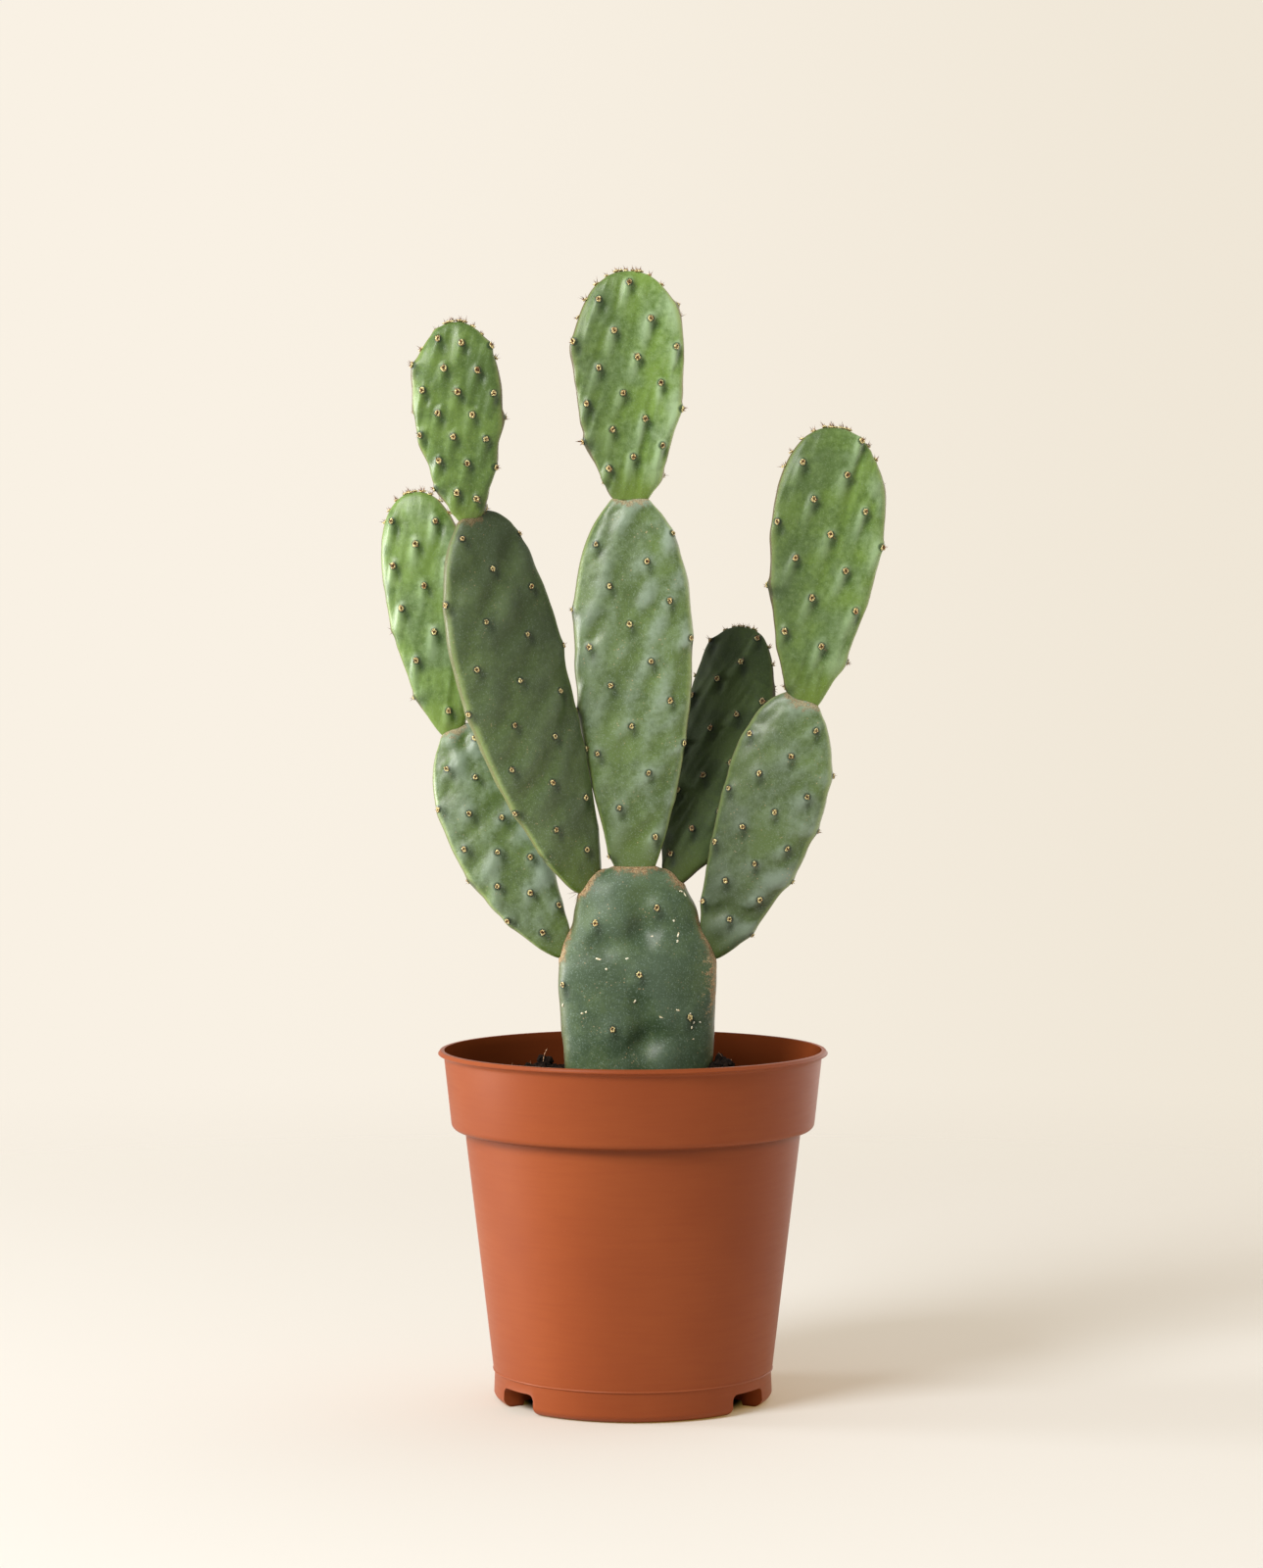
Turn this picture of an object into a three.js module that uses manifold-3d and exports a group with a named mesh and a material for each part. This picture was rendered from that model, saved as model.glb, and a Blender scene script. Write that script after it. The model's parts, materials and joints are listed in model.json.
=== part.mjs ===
// Potted paddle cactus: ten flat pads that grow out of one another, rooted in a mound of potting
// soil inside a tapered nursery pot on three feet. Millimetres, +Z up. The origin is on the floor
// under the pot's axis, and the plant is looked at from -Y.
import * as THREE from "three";
import { mergeVertices } from "three/addons/utils/BufferGeometryUtils.js";
import Module from "manifold-3d";

const wasm = await Module();
wasm.setup();

// The slit left between two pieces that touch.
const pieceGap = 0.3;

// The pot: radii and heights of its outside, and the thickness of its moulded wall.
const pot = {
  height: 153,
  lipRadius: 85,
  lipTopRadius: 84.1,
  lipHeight: 4.6,
  bandTopRadius: 82.3,
  bandLowRadius: 79.3,
  bandLow: 117,
  bandCorner: 3,
  bodyTopRadius: 73.6,
  seamRadius: 61,
  seamHeight: 13.6,
  footRadius: 56,
  footCorner: 5,
  footRing: 5.5,
  wall: 1.5,
  floorUnder: 2.2,
  floorThick: 1.8,
  sides: 48,
};

// The three channels that run in under the pot and part its foot ring into three feet.
const channel = {
  angles: [90, 214.3, 325.7],
  width: 23,
  height: 9,
  corner: 3,
  innerRadius: 24,
  drainRadius: 4.2,
  drainAt: 40,
};

// The soil: its height at the wall and at the trunk, and how much its surface rolls.
const soil = {
  wallHeight: 137,
  trunkHeight: 146,
  moundRadius: 62,
  roll: 1.3,
  sides: 32,
  rows: 6,
};

// The roots under the trunk pad, spread by the golden angle.
const root = {
  count: 5,
  collarRadius: 9,
  thick: 3.4,
  thin: 1,
  reach: 42,
  drop: 58,
  sides: 4,
  rows: 3,
};

// A pad is seated on its parent's crown: seat is the angle round the crown from its tip, to the
// right if positive. lean is to the right and tilt is away from the viewer, both from upright; turn
// is the way its face looks, to the right if positive. widest is the station of its full width,
// swell how soon it widens from its neck, crown and dome the roundness of its top, bow and curl the
// sideways and forward bulge of its middle.
// wart is the height of the warts its areoles stand on. Its spiral of areoles starts at a phase,
// steps on by a turn for each, runs from the first station to the last, and gathers towards the tip
// if gather is under 1.
const pads = [
  {
    name: "pad_base",
    foot: [0.5, 0, 103],
    lean: -0.2,
    tilt: 0,
    turn: 0,
    length: 129.5,
    width: 68.7,
    thick: 25,
    neck: 54,
    neckThick: 19,
    widest: 0.66,
    swell: 1.05,
    crown: 1.1,
    dome: 3.4,
    bow: 2,
    curl: 0,
    wart: 0.3,
    spiral: {
      count: 26,
      phase: 0.672,
      turn: 0.2148,
      first: 0.035,
      last: 0.957,
      gather: 1.30,
    },
    colour: 0x58694a,
  },
  {
    name: "pad_left_front",
    parent: "pad_base",
    seat: -37,
    lean: -16.3,
    tilt: -8.5,
    turn: 26,
    length: 169,
    width: 52,
    thick: 15,
    neck: 9,
    neckThick: 6,
    widest: 0.67,
    swell: 0.64,
    crown: 1.55,
    dome: 2.65,
    bow: -6.6,
    curl: 2,
    wart: 0.4,
    spiral: {
      count: 39,
      phase: 0.214,
      turn: -0.3848,
      first: 0.065,
      last: 0.974,
      gather: 1.12,
    },
    colour: 0x586541,
  },
  {
    name: "pad_left_top",
    parent: "pad_left_front",
    seat: -9,
    lean: -3.7,
    tilt: -2,
    turn: -4,
    length: 83,
    width: 38,
    thick: 11,
    neck: 6,
    neckThick: 5,
    widest: 0.64,
    swell: 0.82,
    crown: 2,
    dome: 2,
    bow: -1.2,
    curl: 1,
    wart: 0.9,
    spiral: {
      count: 38,
      phase: 0.046,
      turn: -0.1784,
      first: 0.056,
      last: 0.978,
      gather: 1.00,
    },
    colour: 0x6f8144,
  },
  {
    name: "pad_left_low",
    parent: "pad_base",
    seat: -72,
    lean: -26,
    tilt: 7,
    turn: 8,
    length: 108,
    width: 38.2,
    thick: 13,
    neck: 5,
    neckThick: 5,
    widest: 0.6,
    swell: 0.69,
    crown: 2.65,
    dome: 2.2,
    bow: -5.5,
    curl: 0,
    wart: 0.5,
    spiral: {
      count: 32,
      phase: 0.686,
      turn: -0.3815,
      first: 0.098,
      last: 0.940,
      gather: 1.03,
    },
    colour: 0x748561,
  },
  {
    name: "pad_left_low_top",
    parent: "pad_left_low",
    seat: -6,
    lean: -9,
    tilt: 0,
    turn: -10,
    length: 105.3,
    width: 38.6,
    thick: 11,
    neck: 5,
    neckThick: 5,
    widest: 0.62,
    swell: 0.64,
    crown: 2.4,
    dome: 2.2,
    bow: -0.2,
    curl: 1,
    wart: 0.9,
    spiral: {
      count: 27,
      phase: 0.779,
      turn: -0.2876,
      first: 0.023,
      last: 0.945,
      gather: 0.76,
    },
    colour: 0xa4b28a,
  },
  {
    name: "pad_centre",
    parent: "pad_base",
    seat: 1.3,
    lean: -0.8,
    tilt: 0,
    turn: 0,
    length: 161.5,
    width: 51.8,
    thick: 16,
    neck: 15,
    neckThick: 8,
    widest: 0.63,
    swell: 0.84,
    crown: 2.15,
    dome: 2.1,
    bow: 0.7,
    curl: 1.5,
    wart: 0.4,
    spiral: {
      count: 38,
      phase: 0.508,
      turn: 0.3846,
      first: 0.014,
      last: 0.984,
      gather: 0.92,
    },
    colour: 0x6b8050,
  },
  {
    name: "pad_centre_top",
    parent: "pad_centre",
    seat: 1.2,
    lean: -0.6,
    tilt: -1,
    turn: 4,
    length: 97,
    width: 48.5,
    thick: 12,
    neck: 12.5,
    neckThick: 7,
    widest: 0.65,
    swell: 0.76,
    crown: 1.75,
    dome: 2.4,
    bow: -0.5,
    curl: 1,
    wart: 0.9,
    spiral: {
      count: 37,
      phase: 0.867,
      turn: -0.4199,
      first: 0.065,
      last: 0.974,
      gather: 1.18,
    },
    colour: 0x98aa7a,
  },
  {
    name: "pad_back_right",
    parent: "pad_base",
    seat: 32,
    lean: 16.1,
    tilt: 17,
    turn: -18,
    length: 118.5,
    width: 41.2,
    thick: 12,
    neck: 5,
    neckThick: 5,
    widest: 0.52,
    swell: 0.75,
    crown: 2.3,
    dome: 2.6,
    bow: 2.2,
    curl: -5,
    wart: 0.8,
    spiral: {
      count: 34,
      phase: 0.647,
      turn: 0.3712,
      first: 0.077,
      last: 0.986,
      gather: 0.99,
    },
    colour: 0x3a4020,
  },
  {
    name: "pad_right",
    parent: "pad_base",
    seat: 73,
    lean: 18.7,
    tilt: -6,
    turn: -6,
    length: 117.5,
    width: 45,
    thick: 15,
    neck: 5,
    neckThick: 5,
    widest: 0.68,
    swell: 0.68,
    crown: 1.65,
    dome: 2.55,
    bow: 4,
    curl: 1,
    wart: 0.5,
    spiral: {
      count: 35,
      phase: 0.209,
      turn: -0.2217,
      first: 0.095,
      last: 0.967,
      gather: 1.15,
    },
    colour: 0x737553,
  },
  {
    name: "pad_right_top",
    parent: "pad_right",
    seat: 6,
    lean: 6.6,
    tilt: -1,
    turn: 5,
    length: 117.5,
    width: 48.7,
    thick: 12,
    neck: 11,
    neckThick: 6,
    widest: 0.67,
    swell: 0.83,
    crown: 2,
    dome: 2.3,
    bow: 1.2,
    curl: 1,
    wart: 0.9,
    spiral: {
      count: 31,
      phase: 0.446,
      turn: -0.2167,
      first: 0.012,
      last: 0.989,
      gather: 0.90,
    },
    colour: 0x5e7539,
  },
];

// How a pad's surface is divided, how its section and its areoles are shaped, and how far its neck
// reaches into its parent.
const padMesh = {
  round: 22,
  step: (2 * Math.PI) / 22,
  stemRows: 7,
  crownRows: 6,
  squareness: 2.3,
  crowding: 1.35,
  sink: 3,
};
const areole = {
  radius: 1.4,
  height: 1.3,
  cellShare: 0.24,
  inset: 0.3,
  clearOfJoint: 1.5,
};

const radians = (degrees) => (degrees * Math.PI) / 180;
const mix = (a, b, share) => a + (b - a) * share;
const signedPower = (x, power) => Math.sign(x) * Math.abs(x) ** power;

// ---- solids ----

// A closed three.js geometry as a solid.
function solidOf(geometry) {
  const bare = geometry.clone();
  bare.deleteAttribute("normal");
  bare.deleteAttribute("uv");
  const merged = mergeVertices(bare, 1e-4);
  return new wasm.Manifold(
    new wasm.Mesh({
      numProp: 3,
      vertProperties: new Float32Array(merged.attributes.position.array),
      triVerts: new Uint32Array(merged.index.array),
    }),
  );
}

// A solid as a three.js geometry.
function geometryOf(solid) {
  const mesh = solid.getMesh();
  const geometry = new THREE.BufferGeometry();
  const places = new Float32Array(mesh.vertProperties);
  geometry.setAttribute("position", new THREE.BufferAttribute(places, 3));
  geometry.setIndex(new THREE.BufferAttribute(new Uint32Array(mesh.triVerts), 1));
  geometry.computeVertexNormals();
  return geometry;
}

// A closed skin over rings of equal length, each end drawn together in one point. A cell of the
// skin with a peak is drawn up over the peak's four shoulders to its top.
function skin(startPoint, rings, endPoint, peaks = new Map()) {
  const places = [...startPoint];
  for (const ring of rings) {
    for (const point of ring) {
      places.push(...point);
    }
  }
  places.push(...endPoint);
  const count = rings[0].length;
  const last = 1 + rings.length * count;
  const faces = [];
  for (let j = 0; j < count; j++) {
    const k = (j + 1) % count;
    faces.push(0, 1 + k, 1 + j);
    for (let i = 0; i + 1 < rings.length; i++) {
      const low = 1 + i * count;
      const high = low + count;
      const corners = [low + j, low + k, high + k, high + j];
      const peak = peaks.get(i * count + j);
      if (!peak) {
        faces.push(corners[0], corners[1], corners[2]);
        faces.push(corners[0], corners[2], corners[3]);
        continue;
      }
      const first = places.length / 3;
      for (const point of [...peak.shoulders, peak.top]) {
        places.push(...point);
      }
      for (let side = 0; side < 4; side++) {
        const next = (side + 1) % 4;
        faces.push(corners[side], corners[next], first + next);
        faces.push(corners[side], first + next, first + side);
        faces.push(first + side, first + next, first + 4);
      }
    }
    faces.push(last - count + j, last - count + k, last);
  }
  const geometry = new THREE.BufferGeometry();
  geometry.setAttribute("position", new THREE.Float32BufferAttribute(places, 3));
  geometry.setIndex(faces);
  return geometry;
}

// A solid of revolution about Z from a profile of [radius, height] points.
function turned(profile, sides) {
  const points = profile.map(([radius, height]) => new THREE.Vector2(radius, height));
  return solidOf(new THREE.LatheGeometry(points, sides).rotateX(Math.PI / 2));
}

// ---- pads ----

// The half width and half thickness of a pad at a station, 0 at its neck and 1 at its tip.
function halfSize(pad, station) {
  const width = pad.width / 2;
  const thick = pad.thick / 2;
  if (station < pad.widest) {
    const share = Math.max(0, station / pad.widest);
    const rise = Math.sin((share * Math.PI) / 2);
    return [
      mix(pad.neck / 2, width, rise ** pad.swell),
      mix(pad.neckThick / 2, thick, Math.min(1, rise * 1.15)),
    ];
  }
  const past = (station - pad.widest) / (1 - pad.widest);
  const fall = Math.max(0, 1 - past ** pad.crown) ** (1 / pad.dome);
  return [width * fall, thick * fall ** 0.9];
}

// A place in a pad: how far along, across its width and through its thickness.
function padPlace(pad, station, across, through) {
  const arch = Math.sin(Math.PI * Math.min(1, Math.max(0, station)));
  return pad.start
    .clone()
    .addScaledVector(pad.along, station * pad.length)
    .addScaledVector(pad.side, pad.bow * arch + across)
    .addScaledVector(pad.face, pad.curl * arch + through);
}

// A point of a pad's skin, at an angle round its section from its right edge by way of its back.
function padSkin(pad, station, angle, grow = 0) {
  const [width, thick] = halfSize(pad, station);
  const power = 2 / padMesh.squareness;
  const across = (width + grow) * signedPower(Math.cos(angle), power);
  const through = (thick + grow) * signedPower(Math.sin(angle), power);
  return padPlace(pad, station, across, -through);
}

// The station of a point on a pad's crown, at an angle from its tip.
function crownStation(pad, angle) {
  const across = Math.abs(Math.sin(radians(angle))) ** pad.dome;
  return mix(pad.widest, 1, Math.max(0, 1 - across) ** (1 / pad.crown));
}

// Sets a pad's start and its three directions, from its parent's crown if it has one.
function seatPad(pad, parent) {
  const lean = radians(pad.lean);
  const tilt = radians(pad.tilt);
  const turn = radians(pad.turn);
  pad.along = new THREE.Vector3(
    Math.sin(lean) * Math.cos(tilt),
    Math.sin(tilt),
    Math.cos(lean) * Math.cos(tilt),
  );
  pad.face = new THREE.Vector3(Math.sin(turn), -Math.cos(turn), 0);
  pad.face.addScaledVector(pad.along, -pad.face.dot(pad.along)).normalize();
  pad.side = new THREE.Vector3().crossVectors(pad.along, pad.face);
  pad.start = new THREE.Vector3();
  if (!parent) {
    pad.start.set(...pad.foot);
    return;
  }
  const station = crownStation(parent, pad.seat);
  const across = (parent.width / 2) * Math.sin(radians(pad.seat));
  pad.start.copy(padPlace(parent, station, across, 0));
  pad.start.addScaledVector(pad.along, -padMesh.sink);
  pad.length += padMesh.sink;
}

// The stations of a pad's rings.
function ringStations(pad) {
  const stations = [];
  for (let i = 0; i <= padMesh.stemRows; i++) {
    stations.push(pad.widest * (i / padMesh.stemRows) ** padMesh.crowding);
  }
  for (let i = 1; i < padMesh.crownRows; i++) {
    stations.push(crownStation(pad, 90 - (90 * i) / padMesh.crownRows));
  }
  return stations;
}

// A pad with a peak at each of its areoles, its skin moved out by grow.
function padBody(pad, spots = [], grow = 0) {
  const stations = ringStations(pad);
  const rings = stations.map((station) => {
    const ring = [];
    for (let j = 0; j < padMesh.round; j++) {
      ring.push(padSkin(pad, station, j * padMesh.step, grow));
    }
    return ring;
  });
  const peaks = new Map();
  for (const spot of spots) {
    const row = stations.findIndex((station) => station > spot.station) - 1;
    const column = Math.floor(spot.angle / padMesh.step) % padMesh.round;
    if (row >= 0) {
      const cell = { low: stations[row], high: stations[row + 1], column };
      peaks.set(row * padMesh.round + column, areolePeak(pad, spot, cell, grow));
    }
  }
  const overhang = grow / pad.length;
  const start = padPlace(pad, -0.012 - overhang, 0, 0);
  const end = padPlace(pad, 1 + overhang, 0, 0);
  return solidOf(skin(start, rings, end, peaks));
}

// An areole stands on a low wart: four shoulders round the spot and a pointed top, kept inside
// the cell of the skin that holds the spot.
function areolePeak(pad, spot, cell, grow) {
  const { low, high, column } = cell;
  const cellHeight = (high - low) * pad.length;
  const cellWidth = padSkin(pad, low, column * padMesh.step).distanceTo(
    padSkin(pad, low, (column + 1) * padMesh.step),
  );
  const halfUp = Math.min(areole.radius / cellHeight, areole.cellShare);
  const halfRound = Math.min(areole.radius / cellWidth, areole.cellShare);
  const inCell = (share) => Math.min(1 - areole.inset, Math.max(areole.inset, share));
  const up = inCell((spot.station - low) / (high - low));
  const round = inCell(spot.angle / padMesh.step - column);
  const raised = (roundShare, upShare, height) => {
    const angle = (column + roundShare) * padMesh.step;
    const place = padSkin(pad, mix(low, high, upShare), angle, grow);
    return place.addScaledVector(spot.normal, height);
  };
  return {
    shoulders: [
      raised(round - halfRound, up - halfUp, pad.wart),
      raised(round + halfRound, up - halfUp, pad.wart),
      raised(round + halfRound, up + halfUp, pad.wart),
      raised(round - halfRound, up + halfUp, pad.wart),
    ],
    top: raised(round, up, pad.wart + areole.height),
  };
}

// The lengths round a pad's section at a station, sampled at even angles.
function sectionLengths(pad, station) {
  const samples = 72;
  const lengths = [0];
  let before = padSkin(pad, station, 0);
  for (let i = 1; i <= samples; i++) {
    const next = padSkin(pad, station, (2 * Math.PI * i) / samples);
    lengths.push(lengths[i - 1] + next.distanceTo(before));
    before = next;
  }
  return lengths;
}

// The angle round a section that lies a share of the way along its length.
function angleAt(lengths, share) {
  const wanted = share * lengths[lengths.length - 1];
  let i = 1;
  while (lengths[i] < wanted && i < lengths.length - 1) {
    i++;
  }
  const part = (wanted - lengths[i - 1]) / (lengths[i] - lengths[i - 1]);
  return (2 * Math.PI * (i - 1 + part)) / (lengths.length - 1);
}

// The areoles of a pad follow one spiral, with an equal share of skin for each.
function areoleSpots(pad) {
  const { count, phase, turn, first, last, gather } = pad.spiral;
  const steps = 120;
  const areas = [0];
  const stations = [first];
  for (let i = 1; i <= steps; i++) {
    const station = mix(first, last, i / steps);
    const [width, thick] = halfSize(pad, station);
    areas.push(areas[i - 1] + width + thick);
    stations.push(station);
  }
  const spots = [];
  for (let n = 0; n < count; n++) {
    const wanted = areas[steps] * ((n + 0.5) / count) ** gather;
    const i = areas.findIndex((area) => area >= wanted);
    const part = (wanted - areas[i - 1]) / (areas[i] - areas[i - 1]);
    const station = mix(stations[i - 1], stations[i], part);
    const turned = phase + n * turn;
    const share = turned - Math.floor(turned);
    const angle = angleAt(sectionLengths(pad, station), share);
    const place = padSkin(pad, station, angle);
    const up = padSkin(pad, station + 0.004, angle).sub(padSkin(pad, station - 0.004, angle));
    const round = padSkin(pad, station, angle + 0.04).sub(padSkin(pad, station, angle - 0.04));
    const normal = new THREE.Vector3().crossVectors(round, up).normalize();
    spots.push({ station, angle, place, normal });
  }
  return spots;
}

// ---- pot ----

// The outside of the pot, filled.
function potOutside() {
  const corner = pot.footCorner;
  const lipLow = pot.height - pot.lipHeight;
  return turned(
    [
      [0, pot.floorUnder],
      [pot.footRadius - pot.footRing, pot.floorUnder],
      [pot.footRadius - pot.footRing, 0],
      [pot.footRadius, 0],
      [pot.footRadius + 0.3 * corner, 0.12 * corner],
      [pot.footRadius + 0.62 * corner, 0.5 * corner],
      [pot.footRadius + 0.85 * corner, 1.3 * corner],
      [pot.seamRadius - 0.35, pot.seamHeight],
      [pot.seamRadius, pot.seamHeight + 0.4],
      [pot.bodyTopRadius, pot.bandLow],
      [pot.bandLowRadius - pot.bandCorner, pot.bandLow],
      [pot.bandLowRadius - 0.3 * pot.bandCorner, pot.bandLow + 0.3 * pot.bandCorner],
      [pot.bandLowRadius, pot.bandLow + pot.bandCorner],
      [pot.bandTopRadius, lipLow - 0.6],
      [pot.bandTopRadius + 0.6, lipLow + 0.7],
      [pot.bandTopRadius + 1.6, lipLow + 1.7],
      [pot.lipRadius - 0.3, lipLow + 2.1],
      [pot.lipRadius, lipLow + 2.7],
      [pot.lipTopRadius + 0.4, pot.height - 0.5],
      [pot.lipTopRadius - 0.3, pot.height],
      [0, pot.height],
    ],
    pot.sides,
  );
}

// The inside of the pot as a filled block, its walls moved in by slack.
function potInside(top, slack) {
  const wall = pot.wall + slack;
  const floor = pot.floorUnder + pot.floorThick + slack;
  const ledge = pot.bandLow + pot.wall + slack;
  return turned(
    [
      [0, floor],
      [pot.seamRadius - wall - 3, floor],
      [pot.seamRadius - wall, pot.seamHeight + 1],
      [pot.bodyTopRadius - wall, ledge],
      [pot.bandLowRadius - wall, ledge + pot.bandCorner],
      [mix(pot.bandLowRadius, pot.bandTopRadius, 0.95) - wall, top],
      [0, top],
    ],
    pot.sides,
  );
}

// The channels under the pot as three blocks, their skins moved out by grow.
function channelBlocks(grow) {
  const half = channel.width / 2 + grow;
  const high = channel.height + grow;
  const corner = channel.corner;
  const outline = new THREE.Shape();
  outline.moveTo(-half, -5);
  outline.lineTo(half, -5);
  outline.lineTo(half, high - corner);
  outline.lineTo(half - 0.3 * corner, high - 0.3 * corner);
  outline.lineTo(half - corner, high);
  outline.lineTo(corner - half, high);
  outline.lineTo(0.3 * corner - half, high - 0.3 * corner);
  outline.lineTo(-half, high - corner);
  outline.closePath();
  const reach = pot.lipRadius - channel.innerRadius + grow;
  const blocks = [];
  for (const angle of channel.angles) {
    const block = new THREE.ExtrudeGeometry(outline, { depth: reach, bevelEnabled: false });
    block.rotateX(Math.PI / 2);
    block.translate(0, pot.lipRadius, 0);
    block.rotateZ(radians(angle - 90));
    blocks.push(solidOf(block));
  }
  return wasm.Manifold.union(blocks);
}

// The drain holes in the channel roofs.
function drainHoles() {
  const holes = [];
  for (const angle of channel.angles) {
    const hole = new THREE.CylinderGeometry(channel.drainRadius, channel.drainRadius, 30, 16);
    hole.rotateX(Math.PI / 2);
    hole.translate(0, channel.drainAt, 5);
    hole.rotateZ(radians(angle - 90));
    holes.push(solidOf(hole));
  }
  return wasm.Manifold.union(holes);
}

function makePot() {
  const hollow = potInside(pot.height + 5, 0).subtract(channelBlocks(pot.wall));
  return potOutside().subtract(hollow).subtract(channelBlocks(0)).subtract(drainHoles());
}

// ---- soil and roots ----

// The height of the soil's surface, mounded to the trunk and rolling a little.
function soilHeight(radius, angle) {
  const share = Math.min(1, radius / soil.moundRadius);
  const mound = mix(soil.trunkHeight, soil.wallHeight, share * share * (3 - 2 * share));
  const waves = Math.sin(3 * angle + radius / 9) + Math.sin(5 * angle - radius / 6 + 1.7);
  return mound + soil.roll * 0.5 * waves * Math.min(1, radius / 20);
}

// Everything in the pot under the soil's surface.
function soilMound() {
  const outer = pot.lipRadius;
  const ringAt = (radius, heightAt) => {
    const ring = [];
    for (let j = 0; j < soil.sides; j++) {
      const angle = (2 * Math.PI * j) / soil.sides;
      ring.push([radius * Math.cos(angle), radius * Math.sin(angle), heightAt(radius, angle)]);
    }
    return ring;
  };
  const rings = [ringAt(outer, () => -5), ringAt(outer, soilHeight)];
  for (let i = 1; i < soil.rows; i++) {
    rings.push(ringAt((outer * (soil.rows - i)) / soil.rows, soilHeight));
  }
  return solidOf(skin([0, 0, -5], rings, [0, 0, soil.trunkHeight]));
}

// A root runs out and down from under the trunk pad, thinner all the way.
function oneRoot(heart, index, grow) {
  const heading = index * radians(137.5);
  const reach = root.reach * (0.75 + 0.25 * Math.sin(index * 2.1));
  const drop = root.drop * (0.8 + 0.2 * Math.cos(index * 1.3));
  const points = [];
  for (let i = 0; i <= root.rows; i++) {
    const share = i / root.rows;
    const out = reach * Math.sin(share * 1.35);
    const wander = heading + 0.5 * share * Math.sin(index * 1.9);
    points.push(
      new THREE.Vector3(
        heart.x + out * Math.cos(wander),
        heart.y + out * Math.sin(wander),
        heart.z - drop * share ** 1.3,
      ),
    );
  }
  const rings = points.map((point, i) => {
    const ahead = points[Math.min(root.rows, i + 1)].clone().sub(points[Math.max(0, i - 1)]);
    const frame = new THREE.Quaternion().setFromUnitVectors(
      new THREE.Vector3(0, 0, 1),
      ahead.normalize(),
    );
    const radius = mix(root.thick, root.thin, i / root.rows) + grow;
    const ring = [];
    for (let j = 0; j < root.sides; j++) {
      const angle = (2 * Math.PI * j) / root.sides;
      const spoke = new THREE.Vector3(radius * Math.cos(angle), radius * Math.sin(angle), 0);
      ring.push(spoke.applyQuaternion(frame).add(point));
    }
    return ring;
  });
  const tip = points[root.rows];
  const end = tip.clone().sub(points[root.rows - 1]).setLength(1 + grow).add(tip);
  return solidOf(skin(points[0], rings, end));
}

// The root ball under a heart point: a short collar and the roots that leave it.
function rootBall(heart, grow) {
  const radius = root.collarRadius + grow;
  const collar = new THREE.SphereGeometry(radius, 8, 5);
  collar.scale(1.5, 0.85, 1);
  collar.translate(heart.x, heart.y, heart.z);
  const pieces = [solidOf(collar)];
  for (let i = 0; i < root.count; i++) {
    pieces.push(oneRoot(heart, i, grow));
  }
  return wasm.Manifold.union(pieces);
}

// ---- the whole plant ----

const group = new THREE.Group();

function addPiece(name, solid, colour, roughness) {
  const material = new THREE.MeshStandardMaterial({ color: colour, roughness, metalness: 0 });
  const piece = new THREE.Mesh(geometryOf(solid), material);
  piece.name = name;
  group.add(piece);
}

const byName = new Map();
for (const pad of pads) {
  const parent = byName.get(pad.parent);
  byName.set(pad.name, pad);
  seatPad(pad, parent);
}

const trunk = byName.get("pad_base");
const heart = trunk.start.clone();
heart.z -= 2;
const trunkGrown = padBody(trunk, [], pieceGap);
const roots = rootBall(heart, 0).subtract(trunkGrown);

// The height under which the trunk pad is buried.
const buried = soil.trunkHeight + 3;
for (const pad of pads) {
  const children = pads.filter((other) => other.parent === pad.name);
  pad.spots = areoleSpots(pad).filter(({ place }) => {
    const inSoil = pad === trunk && place.z < buried;
    const inJoint = children.some((child) => {
      const neck = halfSize(child, (2 * padMesh.sink) / child.length)[0];
      return place.distanceTo(child.start) < neck + areole.clearOfJoint;
    });
    const inNeck = pad.parent && place.distanceTo(pad.start) < pad.neck / 2 + padMesh.sink + 2;
    return !inSoil && !inJoint && !inNeck;
  });
}

for (const pad of pads) {
  const parent = byName.get(pad.parent);
  let solid = padBody(pad, pad.spots);
  if (parent) {
    solid = solid.subtract(padBody(parent, parent.spots, pieceGap));
  }
  addPiece(pad.name, solid, pad.colour, 0.5);
}

const bed = potInside(pot.height - 2, pieceGap)
  .intersect(soilMound())
  .subtract(channelBlocks(pot.wall + pieceGap))
  .subtract(trunkGrown)
  .subtract(rootBall(heart, pieceGap));

addPiece("soil", bed, 0x2b2018, 0.95);
addPiece("roots", roots, 0x8a6f4e, 0.85);
addPiece("pot", makePot(), 0xa65a38, 0.42);

export default group;
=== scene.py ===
# Potted paddle cactus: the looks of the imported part. Shapes are worked out in millimetres, as in the
# part's source, and turned into metres where a mesh is made.
import json
import math

import bmesh
import bpy
import numpy as np
from mathutils import Matrix, Vector
from mathutils.kdtree import KDTree

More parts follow.
